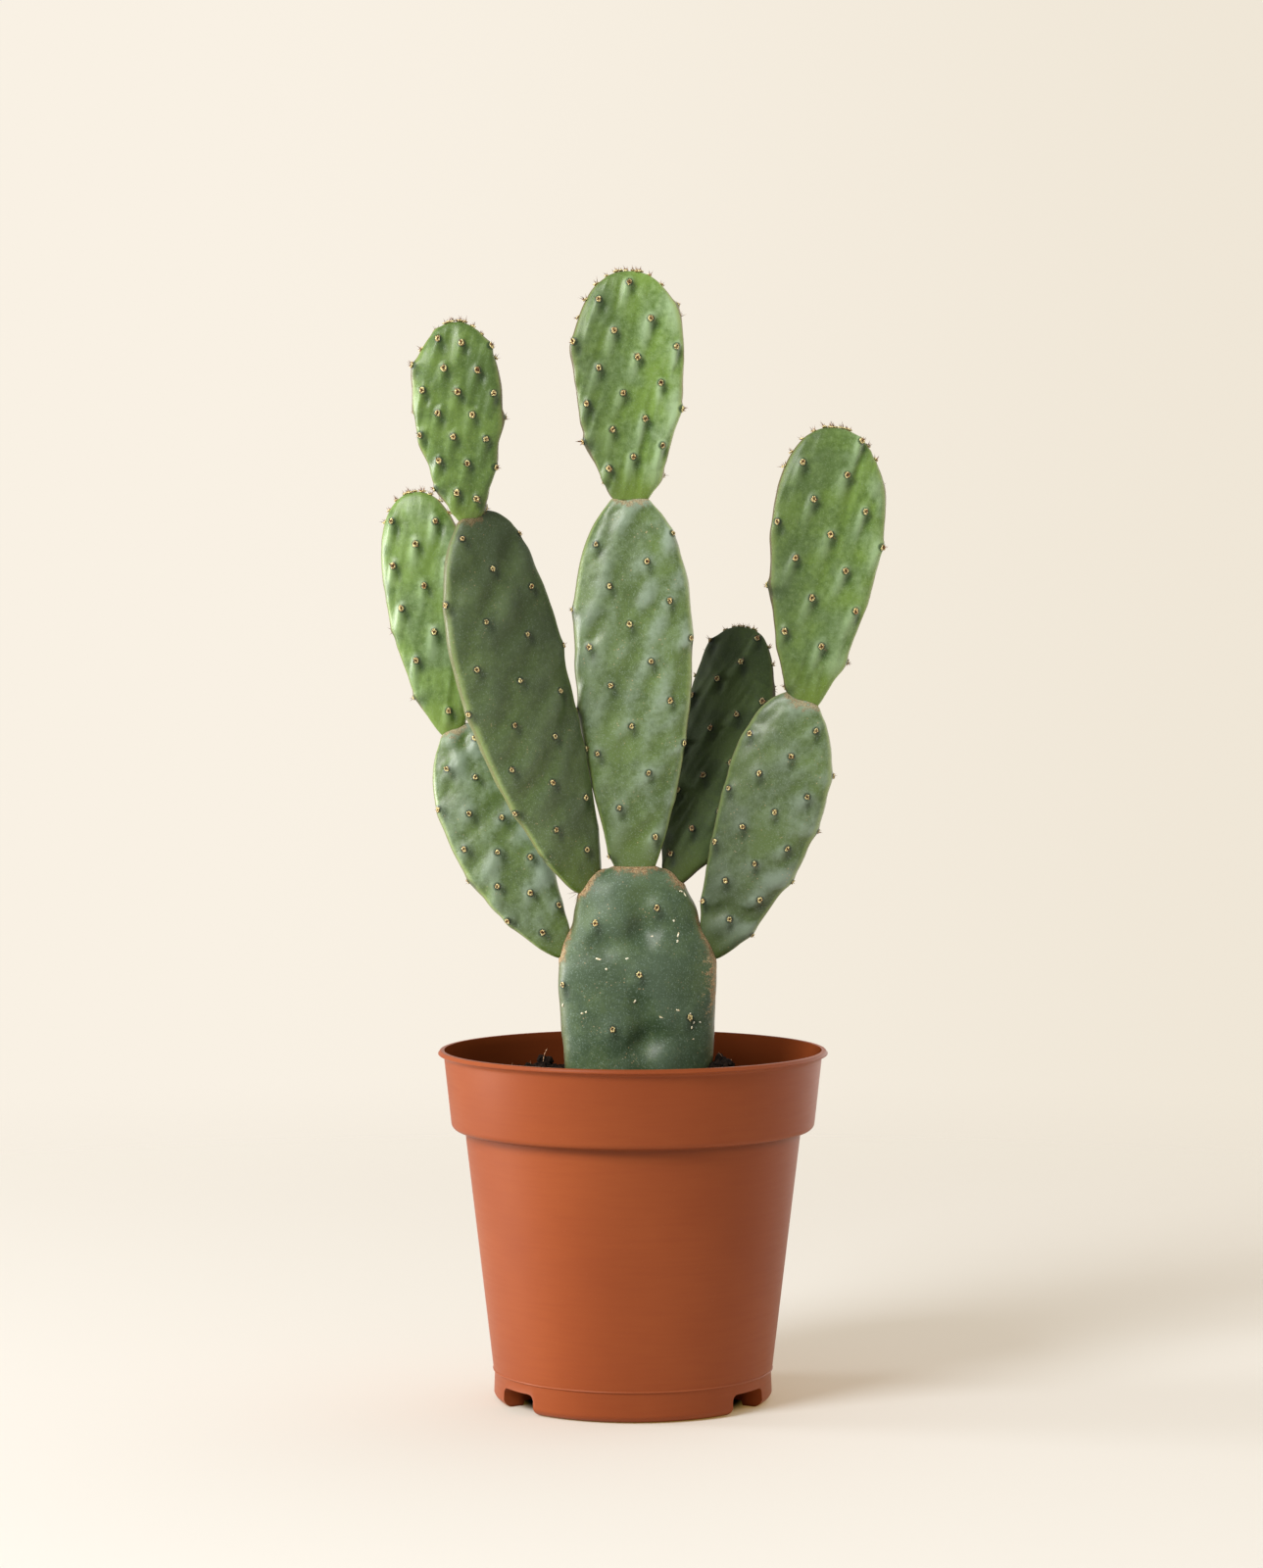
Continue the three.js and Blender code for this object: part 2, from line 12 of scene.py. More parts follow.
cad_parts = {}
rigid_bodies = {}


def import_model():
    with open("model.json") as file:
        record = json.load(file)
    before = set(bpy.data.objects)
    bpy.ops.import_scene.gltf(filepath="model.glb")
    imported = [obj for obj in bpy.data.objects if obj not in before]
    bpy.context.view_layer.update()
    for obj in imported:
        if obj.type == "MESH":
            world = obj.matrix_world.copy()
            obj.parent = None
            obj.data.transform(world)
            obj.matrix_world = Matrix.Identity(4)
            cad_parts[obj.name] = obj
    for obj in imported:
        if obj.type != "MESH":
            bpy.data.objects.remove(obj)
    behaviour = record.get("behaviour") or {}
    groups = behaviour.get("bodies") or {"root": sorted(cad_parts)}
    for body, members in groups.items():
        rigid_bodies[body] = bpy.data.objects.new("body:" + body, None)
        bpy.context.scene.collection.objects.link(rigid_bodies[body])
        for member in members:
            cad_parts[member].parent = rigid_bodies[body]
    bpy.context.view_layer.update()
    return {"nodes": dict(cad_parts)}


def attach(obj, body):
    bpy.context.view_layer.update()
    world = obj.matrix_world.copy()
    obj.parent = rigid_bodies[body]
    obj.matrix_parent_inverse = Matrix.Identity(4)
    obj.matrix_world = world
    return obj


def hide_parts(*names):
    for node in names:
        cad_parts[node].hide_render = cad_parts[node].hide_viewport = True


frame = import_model()
millimetre = 0.001
print("frame loaded:", len(frame["nodes"]), "nodes")


# ---- node trees ----


class Wire:
    # One socket of a node tree. Arithmetic on it adds Math nodes.
    def __init__(self, graph, node, out=0):
        self.graph = graph
        self.node = node
        self.socket = node.outputs[out]

    def other(self, out):
        return Wire(self.graph, self.node, out)

    def maths(self, operation, *values):
        settings = {"operation": operation}
        return self.graph.add("ShaderNodeMath", settings, dict(enumerate(values)))

    def __add__(self, other):
        return self.maths("ADD", self, other)

    def __radd__(self, other):
        return self.maths("ADD", other, self)

    def __sub__(self, other):
        return self.maths("SUBTRACT", self, other)

    def __rsub__(self, other):
        return self.maths("SUBTRACT", other, self)

    def __mul__(self, other):
        return self.maths("MULTIPLY", self, other)

    def __rmul__(self, other):
        return self.maths("MULTIPLY", other, self)

    def __truediv__(self, other):
        return self.maths("DIVIDE", self, other)

    def __pow__(self, other):
        return self.maths("POWER", self, other)

    def __abs__(self):
        return self.maths("ABSOLUTE", self)


class Graph:
    # A node tree that is filled by calls. add() takes a node's type, its settings and its inputs.
    def __init__(self, tree):
        self.tree = tree

    def add(self, kind, settings=None, values=None, out=0):
        node = self.tree.nodes.new(kind)
        for name, value in (settings or {}).items():
            setattr(node, name, value)
        for key, value in (values or {}).items():
            for one in value if isinstance(value, list) else [value]:
                if isinstance(one, Wire):
                    self.tree.links.new(one.socket, node.inputs[key])
                else:
                    node.inputs[key].default_value = one
        return Wire(self, node, out)

    # The share of the way that a value has gone from low to high, eased at both ends.
    def ease(self, value, low, high):
        settings = {"interpolation_type": "SMOOTHSTEP"}
        return self.add("ShaderNodeMapRange", settings, {0: value, 1: low, 2: high, 3: 0.0, 4: 1.0})

    # Colour a turns into colour b by share.
    def tint(self, share, a, b, mode="MIX"):
        settings = {"data_type": "RGBA", "blend_type": mode, "clamp_factor": True}
        return self.add("ShaderNodeMix", settings, {0: share, 6: a, 7: b}, out=2)

    def vector(self, operation, *values):
        return self.add("ShaderNodeVectorMath", {"operation": operation}, dict(enumerate(values)))

    def scaled(self, vector, factor):
        return self.add("ShaderNodeVectorMath", {"operation": "SCALE"}, {0: vector, "Scale": factor})

    # Smooth noise about 0.5, its features a little under 1 / scale across.
    def noise(self, place, scale, detail=2.0, rough=0.5, out=0):
        values = {"Vector": place, "Scale": scale, "Detail": detail, "Roughness": rough}
        return self.add("ShaderNodeTexNoise", {}, values, out)

    def attribute(self, name):
        return self.add("ShaderNodeAttribute", {"attribute_name": name}, out="Fac")


# An sRGB colour of 0 to 255 as the linear colour that nodes take.
def srgb(red, green, blue):
    shares = [value / 255 for value in (red, green, blue)]
    linear = [s / 12.92 if s <= 0.04045 else ((s + 0.055) / 1.055) ** 2.4 for s in shares]
    return (*linear, 1.0)


# A material with a Principled shader, and the graph to fill. fixed holds its constant sockets.
def newMaterial(name, fixed):
    material = bpy.data.materials.new(name)
    material.use_nodes = True
    shader = material.node_tree.nodes["Principled BSDF"]
    for socket, value in fixed.items():
        shader.inputs[socket].default_value = value
    return material, shader, Graph(material.node_tree)


def connect(graph, shader, wires):
    for socket, wire in wires.items():
        graph.tree.links.new(wire.socket, shader.inputs[socket])


# Object coordinates in millimetres.
def inMillimetres(graph):
    place = graph.add("ShaderNodeTexCoord", out="Object")
    return graph.scaled(place, 1 / millimetre)


def bumped(graph, height, strength, distance):
    values = {"Height": height, "Strength": strength, "Distance": distance * millimetre}
    return graph.add("ShaderNodeBump", {}, values)


# ---- meshes ----


def newObject(name, mesh):
    made = bpy.data.objects.new(name, mesh)
    bpy.context.scene.collection.objects.link(made)
    return made


# A mesh from points in millimetres, smooth all over.
def newMesh(name, points, faces, attributes=None):
    mesh = bpy.data.meshes.new(name)
    mesh.from_pydata((np.asarray(points) * millimetre).tolist(), [], faces)
    for key, values in (attributes or {}).items():
        values = np.asarray(values, np.float32)
        vectors = values.ndim == 2
        kind = "FLOAT_VECTOR" if vectors else "FLOAT"
        layer = mesh.attributes.new(key, kind, "POINT")
        layer.data.foreach_set("vector" if vectors else "value", values.ravel())
    if mesh.polygons:
        mesh.shade_smooth()
    mesh.update()
    return mesh


# The faces of a closed skin: a start point, rows of rings of the same count, and an end point.
def skinFaces(rows, count):
    last = 1 + rows * count
    ring = np.arange(count)
    after = (ring + 1) % count
    faces = [(0, 1 + b, 1 + a) for a, b in zip(ring.tolist(), after.tolist())]
    for row in range(rows - 1):
        low = 1 + row * count
        high = low + count
        quads = np.stack([low + ring, low + after, high + after, high + ring], 1)
        faces.extend(map(tuple, quads.tolist()))
    low = last - count
    faces.extend((low + a, low + b, last) for a, b in zip(ring.tolist(), after.tolist()))
    return faces


# Runs a geometry tree on a carrier mesh and gives the result as a plain mesh object.
def grown(name, tree, carrier, values):
    made = newObject(name, carrier)
    modifier = made.modifiers.new("grow", "NODES")
    modifier.node_group = tree
    for item in tree.interface.items_tree:
        if item.in_out == "INPUT" and item.name in values:
            modifier[item.identifier] = values[item.name]
    graph = bpy.context.evaluated_depsgraph_get()
    mesh = bpy.data.meshes.new_from_object(made.evaluated_get(graph), depsgraph=graph)
    made.modifiers.clear()
    made.data = mesh
    mesh.name = name
    return made


# A geometry tree with a geometry input and output and named number inputs.
def newTree(name, numbers):
    tree = bpy.data.node_groups.new(name, "GeometryNodeTree")
    kinds = {float: "NodeSocketFloat", int: "NodeSocketInt"}
    tree.interface.new_socket("Geometry", in_out="INPUT", socket_type="NodeSocketGeometry")
    for key, value in numbers.items():
        socket = tree.interface.new_socket(key, in_out="INPUT", socket_type=kinds[type(value)])
        socket.default_value = value
    tree.interface.new_socket("Geometry", in_out="OUTPUT", socket_type="NodeSocketGeometry")
    graph = Graph(tree)
    entry = graph.add("NodeGroupInput")
    inputs = {key: entry.other(key) for key in ["Geometry", *numbers]}
    return tree, graph, inputs


def finishTree(graph, geometry):
    node = graph.tree.nodes.new("NodeGroupOutput")
    graph.tree.links.new(geometry.socket, node.inputs[0])


# ---- pads ----

# A pad is seated on its parent's crown at an angle from its tip, to the right if positive. lean is to
# the right and tilt away from the viewer, both from upright; turn is the way its face looks. dish is
# how hollow its face is. Its tone is painted light and shade over its skin's own lightness: how light
# it is beside others of its age (darker where it stands in shade), how much lighter towards its right
# and how much lighter towards its neck. Its bloom setting is how strong its waxy bloom is, made
# stronger towards its right and weaker towards its left as a painted sheen. waist is where it is drawn
# in, how far along that reaches and how deep it is.
padTable = {
    "base": {
        "parent": None, "skin": "trunk", "seat": 0, "lean": -0.2, "tilt": 0, "turn": 0,
        "length": 129.5, "width": 68.7, "thick": 25, "neck": 54, "neckThick": 19,
        "widest": 0.66, "swell": 1.05, "crown": 1.1, "dome": 3.4, "bow": 2, "curl": 0,
        "areoles": 26, "phase": 0.672, "step": 0.2148, "first": 0.035, "last": 0.957,
        "gather": 1.30,
        "dish": 0.0, "tone": (0.85, -0.02, -0.06), "waxy": 0.40, "waist": (0.8, 0.055, 2.7),
    },
    "left_front": {
        "parent": "base", "skin": "old", "seat": -37, "lean": -16.3, "tilt": -8.5, "turn": 26,
        "length": 169, "width": 52, "thick": 15, "neck": 9, "neckThick": 6,
        "widest": 0.67, "swell": 0.64, "crown": 1.55, "dome": 2.65, "bow": -6.6, "curl": 2,
        "areoles": 39, "phase": 0.214, "step": -0.3848, "first": 0.065, "last": 0.974,
        "gather": 1.12,
        "dish": 0.0, "tone": (0.69, -0.16, 0.34), "waxy": 0.20,
    },
    "left_top": {
        "parent": "left_front", "skin": "young", "seat": -9, "lean": -3.7, "tilt": -2, "turn": -4,
        "length": 83, "width": 38, "thick": 11, "neck": 6, "neckThick": 5,
        "widest": 0.64, "swell": 0.82, "crown": 2, "dome": 2, "bow": -1.2, "curl": 1,
        "areoles": 38, "phase": 0.046, "step": -0.1784, "first": 0.056, "last": 0.978,
        "gather": 1.00,
        "dish": 1.2, "tone": (0.90, -0.04, 0.00), "waxy": 0.05,
    },
    "left_low": {
        "parent": "base", "skin": "old", "seat": -72, "lean": -26, "tilt": 7, "turn": 8,
        "length": 108, "width": 38.2, "thick": 13, "neck": 5, "neckThick": 5,
        "widest": 0.6, "swell": 0.69, "crown": 2.65, "dome": 2.2, "bow": -5.5, "curl": 0,
        "areoles": 32, "phase": 0.686, "step": -0.3815, "first": 0.098, "last": 0.940,
        "gather": 1.03,
        "dish": 0.0, "tone": (0.96, 0.02, 0.00), "waxy": 1.05,
    },
    "left_low_top": {
        "parent": "left_low", "skin": "young", "seat": -6, "lean": -9, "tilt": 0, "turn": -10,
        "length": 105.3, "width": 38.6, "thick": 11, "neck": 5, "neckThick": 5,
        "widest": 0.62, "swell": 0.64, "crown": 2.4, "dome": 2.2, "bow": -0.2, "curl": 1,
        "areoles": 27, "phase": 0.779, "step": -0.2876, "first": 0.023, "last": 0.945,
        "gather": 0.76,
        "dish": 1.0, "tone": (0.97, 0.00, -0.05), "waxy": 1.00,
    },
    "centre": {
        "parent": "base", "skin": "old", "seat": 1.3, "lean": -0.8, "tilt": 0, "turn": 0,
        "length": 161.5, "width": 51.8, "thick": 16, "neck": 15, "neckThick": 8,
        "widest": 0.63, "swell": 0.84, "crown": 2.15, "dome": 2.1, "bow": 0.7, "curl": 1.5,
        "areoles": 38, "phase": 0.508, "step": 0.3846, "first": 0.014, "last": 0.984,
        "gather": 0.92,
        "dish": 0.0, "tone": (1.03, 0.20, -0.02), "waxy": 1.0,
    },
    "centre_top": {
        "parent": "centre", "skin": "young", "seat": 1.2, "lean": -0.6, "tilt": -1, "turn": 4,
        "length": 97, "width": 48.5, "thick": 12, "neck": 12.5, "neckThick": 7,
        "widest": 0.65, "swell": 0.76, "crown": 1.75, "dome": 2.4, "bow": -0.5, "curl": 1,
        "areoles": 37, "phase": 0.867, "step": -0.4199, "first": 0.065, "last": 0.974,
        "gather": 1.18,
        "dish": 2.2, "tone": (1.04, 0.40, -0.04), "waxy": 1.15,
    },
    "back_right": {
        "parent": "base", "skin": "young", "seat": 32, "lean": 16.1, "tilt": 17, "turn": -18,
        "length": 118.5, "width": 41.2, "thick": 12, "neck": 5, "neckThick": 5,
        "widest": 0.52, "swell": 0.75, "crown": 2.3, "dome": 2.6, "bow": 2.2, "curl": -5,
        "areoles": 34, "phase": 0.647, "step": 0.3712, "first": 0.077, "last": 0.986,
        "gather": 0.99,
        "dish": 0.0, "tone": (0.22, 0.35, 0.12), "waxy": 0.20,
    },
    "right": {
        "parent": "base", "skin": "old", "seat": 73, "lean": 18.7, "tilt": -6, "turn": -6,
        "length": 117.5, "width": 45, "thick": 15, "neck": 5, "neckThick": 5,
        "widest": 0.68, "swell": 0.68, "crown": 1.65, "dome": 2.55, "bow": 4, "curl": 1,
        "areoles": 35, "phase": 0.209, "step": -0.2217, "first": 0.095, "last": 0.967,
        "gather": 1.15,
        "dish": 0.0, "tone": (0.74, 0.26, -0.24), "waxy": 0.95,
    },
    "right_top": {
        "parent": "right", "skin": "young", "seat": 6, "lean": 6.6, "tilt": -1, "turn": 5,
        "length": 117.5, "width": 48.7, "thick": 12, "neck": 11, "neckThick": 6,
        "widest": 0.67, "swell": 0.83, "crown": 2, "dome": 2.3, "bow": 1.2, "curl": 1,
        "areoles": 31, "phase": 0.446, "step": -0.2167, "first": 0.012, "last": 0.989,
        "gather": 0.90,
        "dish": 2.2, "tone": (0.92, 0.32, 0.00), "waxy": 0.90,
    },
}

padForm = {
    "foot": (0.5, 0, 103),  # where the trunk pad starts
    "round": 132,
    "stemRows": 120,
    "crownRows": 64,
    "crowding": 1.2,
    "squareness": 2.3,
    "sink": 3.0,  # how far a neck reaches into its parent
    "buried": 149.0,  # no areoles under this height
}

# The relief of each kind of skin, in millimetres. Its ripples are waves across the lean of its ridges,
# its wrinkles the same but finer, and crisp is how sharp their crests are. An areole stands on a wart
# that has a long tail, a short head and a dent beside it; on the rim it draws the skin into a corner.
relief = {
    "trunk": {
        "lean": 20, "spread": 60, "waves": (15, 42), "ripple": 1.1, "wrinkle": 0.03, "crisp": 0.2,
        "wart": 0.6, "wide": 4.0, "tail": 8.0, "head": 5.0, "dent": 0.3, "corner": 0.3,
    },
    "old": {
        "lean": 35, "spread": 50, "waves": (10, 30), "ripple": 0.72, "wrinkle": 0.04, "crisp": 0.1,
        "wart": 0.65, "wide": 3.0, "tail": 6.0, "head": 3.2, "dent": 0.4, "corner": 0.35,
    },
    "young": {
        "lean": 15, "spread": 13, "waves": (6.5, 16), "ripple": 0.42, "wrinkle": 0.03, "crisp": 0.6,
        "wart": 1.2, "wide": 2.2, "tail": 11.0, "head": 2.6, "dent": 0.6, "corner": 0.75,
    },
}
collar = {"height": 0.9, "reach": 3.0}  # the swelling of a pad's skin round those that grow from it


def mixed(a, b, share):
    return a + (b - a) * share


def signedPower(values, power):
    return np.sign(values) * np.abs(values) ** power


def unit(vectors):
    return vectors / np.maximum(np.linalg.norm(vectors, axis=-1, keepdims=True), 1e-9)


# Half width and half thickness of a pad at stations from 0 at its neck to 1 at its tip.
def halfSizes(pad, station):
    station = np.asarray(station, float)
    rise = np.sin(np.clip(station / pad["widest"], 0, 1) * math.pi / 2)
    wide = mixed(pad["neck"] / 2, pad["width"] / 2, rise ** pad["swell"])
    deep = mixed(pad["neckThick"] / 2, pad["thick"] / 2, np.minimum(1, rise * 1.15))
    past = np.clip((station - pad["widest"]) / (1 - pad["widest"]), 0, 1)
    fall = (1 - past ** pad["crown"]) ** (1 / pad["dome"])
    if "waist" in pad:
        place, reach, depth = pad["waist"]
        wide = wide - depth * np.exp(-(((station - place) / reach) ** 2))
    return wide * fall, deep * fall**0.9


# Places in a pad: how far along, across its width and through its thickness.
def padPlaces(pad, station, across, through):
    station, across, through = np.broadcast_arrays(station, across, through)
    arch = np.sin(math.pi * np.clip(station, 0, 1))
    hollow = pad["dish"] * (1 - (2 * across / pad["width"]) ** 2)
    return (
        pad["start"]
        + station[..., None] * pad["length"] * pad["along"]
        + (pad["bow"] * arch + across)[..., None] * pad["side"]
        + ((pad["curl"] - hollow) * arch + through)[..., None] * pad["face"]
    )


# Points of a pad's plain skin, at angles round its section from its right edge by way of its back.
def padSkin(pad, station, angle):
    wide, deep = halfSizes(pad, station)
    power = 2 / padForm["squareness"]
    across = wide * signedPower(np.cos(angle), power)
    through = deep * signedPower(np.sin(angle), power)
    return padPlaces(pad, station, across, -through)


def skinNormals(pad, station, angle):
    up = padSkin(pad, station + 0.004, angle) - padSkin(pad, station - 0.004, angle)
    around = padSkin(pad, station, angle + 0.04) - padSkin(pad, station, angle - 0.04)
    return unit(np.cross(around, up))


# The station of points on a pad's crown, at angles from its tip.
def crownStation(pad, degrees):
    across = np.abs(np.sin(np.radians(degrees))) ** pad["dome"]
    return mixed(pad["widest"], 1, np.maximum(0, 1 - across) ** (1 / pad["crown"]))


# Sets a pad's start and its three directions.
def seatPad(pad, parent):
    lean, tilt, turn = (math.radians(pad[key]) for key in ("lean", "tilt", "turn"))
    sine = math.sin(lean) * math.cos(tilt)
    pad["along"] = np.array([sine, math.sin(tilt), math.cos(lean) * math.cos(tilt)])
    face = np.array([math.sin(turn), -math.cos(turn), 0.0])
    pad["face"] = unit(face - pad["along"] * (face @ pad["along"]))
    pad["side"] = np.cross(pad["along"], pad["face"])
    if parent is None:
        pad["start"] = np.array(padForm["foot"], float)
        return
    across = parent["width"] / 2 * math.sin(math.radians(pad["seat"]))
    seat = padPlaces(parent, crownStation(parent, pad["seat"]), across, 0)
    pad["start"] = seat - pad["along"] * padForm["sink"]
    pad["length"] += padForm["sink"]


# The areoles of a pad follow one spiral, with an equal share of skin for each.
def areoleSpots(pad):
    stations = np.linspace(pad["first"], pad["last"], 121)
    wide, deep = halfSizes(pad, stations)
    areas = np.concatenate([[0], np.cumsum((wide + deep)[1:])])
    number = np.arange(pad["areoles"])
    wanted = areas[-1] * ((number + 0.5) / pad["areoles"]) ** pad["gather"]
    station = np.interp(wanted, areas, stations)
    share = (pad["phase"] + number * pad["step"]) % 1.0
    turns = np.linspace(0, 2 * math.pi, 73)
    angle = np.zeros(len(station))
    for i, here in enumerate(station):
        section = padSkin(pad, here, turns)
        steps = np.linalg.norm(np.diff(section, axis=0), axis=1)
        lengths = np.concatenate([[0], np.cumsum(steps)])
        angle[i] = np.interp(share[i] * lengths[-1], lengths, turns)
    return station, angle


# Which spots carry an areole: none in the soil, in a joint or in the neck.
def openSpots(pad, place, children):
    keep = np.ones(len(place), bool)
    if pad["parent"] is None:
        keep &= place[:, 2] >= padForm["buried"]
    else:
        reach = pad["neck"] / 2 + padForm["sink"] + 2
        keep &= np.linalg.norm(place - pad["start"], axis=1) >= reach
    for child in children:
        neck = halfSizes(child, 2 * padForm["sink"] / child["length"])[0] + 1.5
        keep &= np.linalg.norm(place - child["start"], axis=1) >= neck
    return keep


# Smooth ripples: waves of seeded directions, their lengths within the given ones.
def ripples(pad, points, look, waves, seed, count=14):
    rng = np.random.default_rng(seed)
    local = points - pad["start"]
    axes = np.stack([local @ pad["side"], local @ pad["along"], local @ pad["face"]], -1)
    total = np.zeros(len(points))
    for _ in range(count):
        heading = math.radians(-look["lean"] + look["spread"] * rng.uniform(-1, 1))
        length = rng.uniform(*waves)
        sway = rng.uniform(-0.5, 0.5)
        wave = np.array([math.cos(heading), math.sin(heading), sway]) * 2 * math.pi / length
        total += np.sin(axes @ wave + rng.uniform(0, 2 * math.pi))
    total /= math.sqrt(count / 2)
    return mixed(total, 0.6 - 1.3 * np.abs(total), look["crisp"])


# The relief of a pad's skin at points, how near they are to areoles, and where painted shade goes in the
# dent below each areole.
def skinRelief(pad, points, station, angle, seed):
    look = relief[pad["skin"]]
    fade = np.clip(station / 0.1, 0, 1) * np.clip((1 - station) / 0.05, 0.25, 1)
    patch = np.clip(0.55 + 0.5 * ripples(pad, points, look, (40, 90), seed + 20, 5), 0.2, 1)
    height = look["ripple"] * patch * ripples(pad, points, look, look["waves"], seed)
    height += look["wrinkle"] * ripples(pad, points, look, (3, 7), seed + 50)
    sideways = np.abs(skinNormals(pad, station, angle) @ pad["side"])
    height *= fade * (1 - 0.65 * sideways**2)
    corner = np.zeros(len(points))
    warts = np.zeros(len(points))
    shade = np.zeros(len(points))
    nearest = np.full(len(points), 99.0)
    lean = math.radians(look["lean"] * 1.2)
    for spot in range(len(pad["spotPlace"])):
        offset = points - pad["spotPlace"][spot]
        normal = pad["spotNormal"][spot]
        up = unit(pad["along"] - normal * (pad["along"] @ normal))
        right = np.cross(up, normal)
        ridge = up * math.cos(lean) + right * math.sin(lean)
        slope = up * -math.sin(lean) + right * math.cos(lean)
        along, across, out = offset @ ridge, offset @ slope, offset @ normal
        reach = np.where(along < 0, look["tail"], look["head"])
        near = np.exp(-((out / 7) ** 2))
        wart = np.exp(-((across / look["wide"]) ** 2) - (along / reach) ** 2) * near
        warts = np.maximum(warts, wart)
        # The dent below and right of each areole, which also takes painted shade in the skin's colour.
        low, aside = offset @ up + 3.0, offset @ right - 1.7
        dentShade = np.exp(-((aside / 1.8) ** 2) - (low / 3.0) ** 2) * near
        shade = np.maximum(shade, dentShade)
        gap = np.linalg.norm(offset, axis=1)
        nearest = np.minimum(nearest, gap)
        if abs(normal @ pad["side"]) > 0.6:
            corner = np.maximum(corner, 1 - gap / 10)
    raised = look["wart"] * warts - look["dent"] * shade + look["corner"] * corner
    height += raised * np.clip(station / 0.06, 0, 1)
    return height, shade, nearest


# The stations of a pad's rings, closer together at its neck and round its crown.
def ringStations(pad):
    rows = np.arange(padForm["stemRows"] + 1) / padForm["stemRows"]
    stem = pad["widest"] * rows ** padForm["crowding"]
    crown = crownStation(pad, 90 - 90 * np.arange(1, padForm["crownRows"]) / padForm["crownRows"])
    return np.concatenate([stem, crown])


# The distance from points to the nearest of others, up to 20 mm.
def gapTo(points, others, centre):
    gaps = np.full(len(points), 20.0)
    near = np.where(np.linalg.norm(points - centre, axis=1) < 26)[0]
    close = others[np.linalg.norm(others - centre, axis=1) < 46]
    tree = KDTree(len(close))
    for index, point in enumerate(close):
        tree.insert(point, index)
    tree.balance()
    for index in near:
        gaps[index] = min(20.0, tree.find(points[index])[2])
    return gaps


pads = {}
for name, values in padTable.items():
    pads[name] = dict(values, name=name)
    seatPad(pads[name], pads.get(values["parent"]))

turns = 2 * math.pi * np.arange(padForm["round"]) / padForm["round"]
for pad in pads.values():
    children = [other for other in pads.values() if other["parent"] == pad["name"]]
    station, angle = areoleSpots(pad)
    place = padSkin(pad, station, angle)
    keep = openSpots(pad, place, children)
    pad["spotStation"], pad["spotAngle"] = station[keep], angle[keep]
    pad["spotPlace"] = place[keep]
    pad["spotNormal"] = skinNormals(pad, station, angle)[keep]
    grid = np.meshgrid(ringStations(pad), turns, indexing="ij")
    pad["ringStation"], pad["ringAngle"] = (values.ravel() for values in grid)
    pad["flat"] = padSkin(pad, pad["ringStation"], pad["ringAngle"])
    pad["neckGap"] = np.full(len(pad["flat"]), 20.0)
    pad["seatGap"] = np.full(len(pad["flat"]), 20.0)

for pad in pads.values():
    if pad["parent"]:
        parent = pads[pad["parent"]]
        pad["neckGap"] = gapTo(pad["flat"], parent["flat"], pad["start"])
        seatGap = gapTo(parent["flat"], pad["flat"], pad["start"])
        parent["seatGap"] = np.minimum(parent["seatGap"], seatGap)

for order, pad in enumerate(pads.values()):
    station, angle = pad["ringStation"], pad["ringAngle"]
    height, shade, nearest = skinRelief(pad, pad["flat"], station, angle, 11 + order)
    height += collar["height"] * np.exp(-((pad["seatGap"] / collar["reach"]) ** 2))
    pad["lifted"] = pad["flat"] + skinNormals(pad, station, angle) * height[:, None]
    poles = padPlaces(pad, np.array([-0.012, 1.0]), 0, 0)
    poles[1] += pad["along"] * height[-padForm["round"] :].mean()
    pad["points"] = np.concatenate([poles[:1], pad["lifted"], poles[1:]])
    rim = signedPower(np.cos(angle), 2 / padForm["squareness"])
    paint = {
        "station": station,
        "relief": height,
        "shade": shade,
        "nearest": nearest,
        "rim": rim,
        "neckGap": pad["neckGap"],
        "seatGap": pad["seatGap"],
    }
    pad["paint"] = {key: np.concatenate([v[:1], v, v[-1:]]) for key, v in paint.items()}
    level, slant, drop = pad["tone"]
    tone = level * (1 + slant * rim) * (1 + drop * (1 - 2 * station))
    pad["paint"]["tone"] = np.concatenate([tone[:1], tone, tone[-1:]])
    waxy = pad["waxy"] * (1 + 0.5 * rim)
    pad["paint"]["waxy"] = np.concatenate([waxy[:1], waxy, waxy[-1:]])
    spots = (pad["spotPlace"], pad["spotStation"], pad["spotAngle"])
    spotHeight = skinRelief(pad, *spots, 11 + order)[0]
    pad["spotTop"] = pad["spotPlace"] + pad["spotNormal"] * spotHeight[:, None]
print("pads worked out:", sum(len(pad["spotPlace"]) for pad in pads.values()), "areoles")

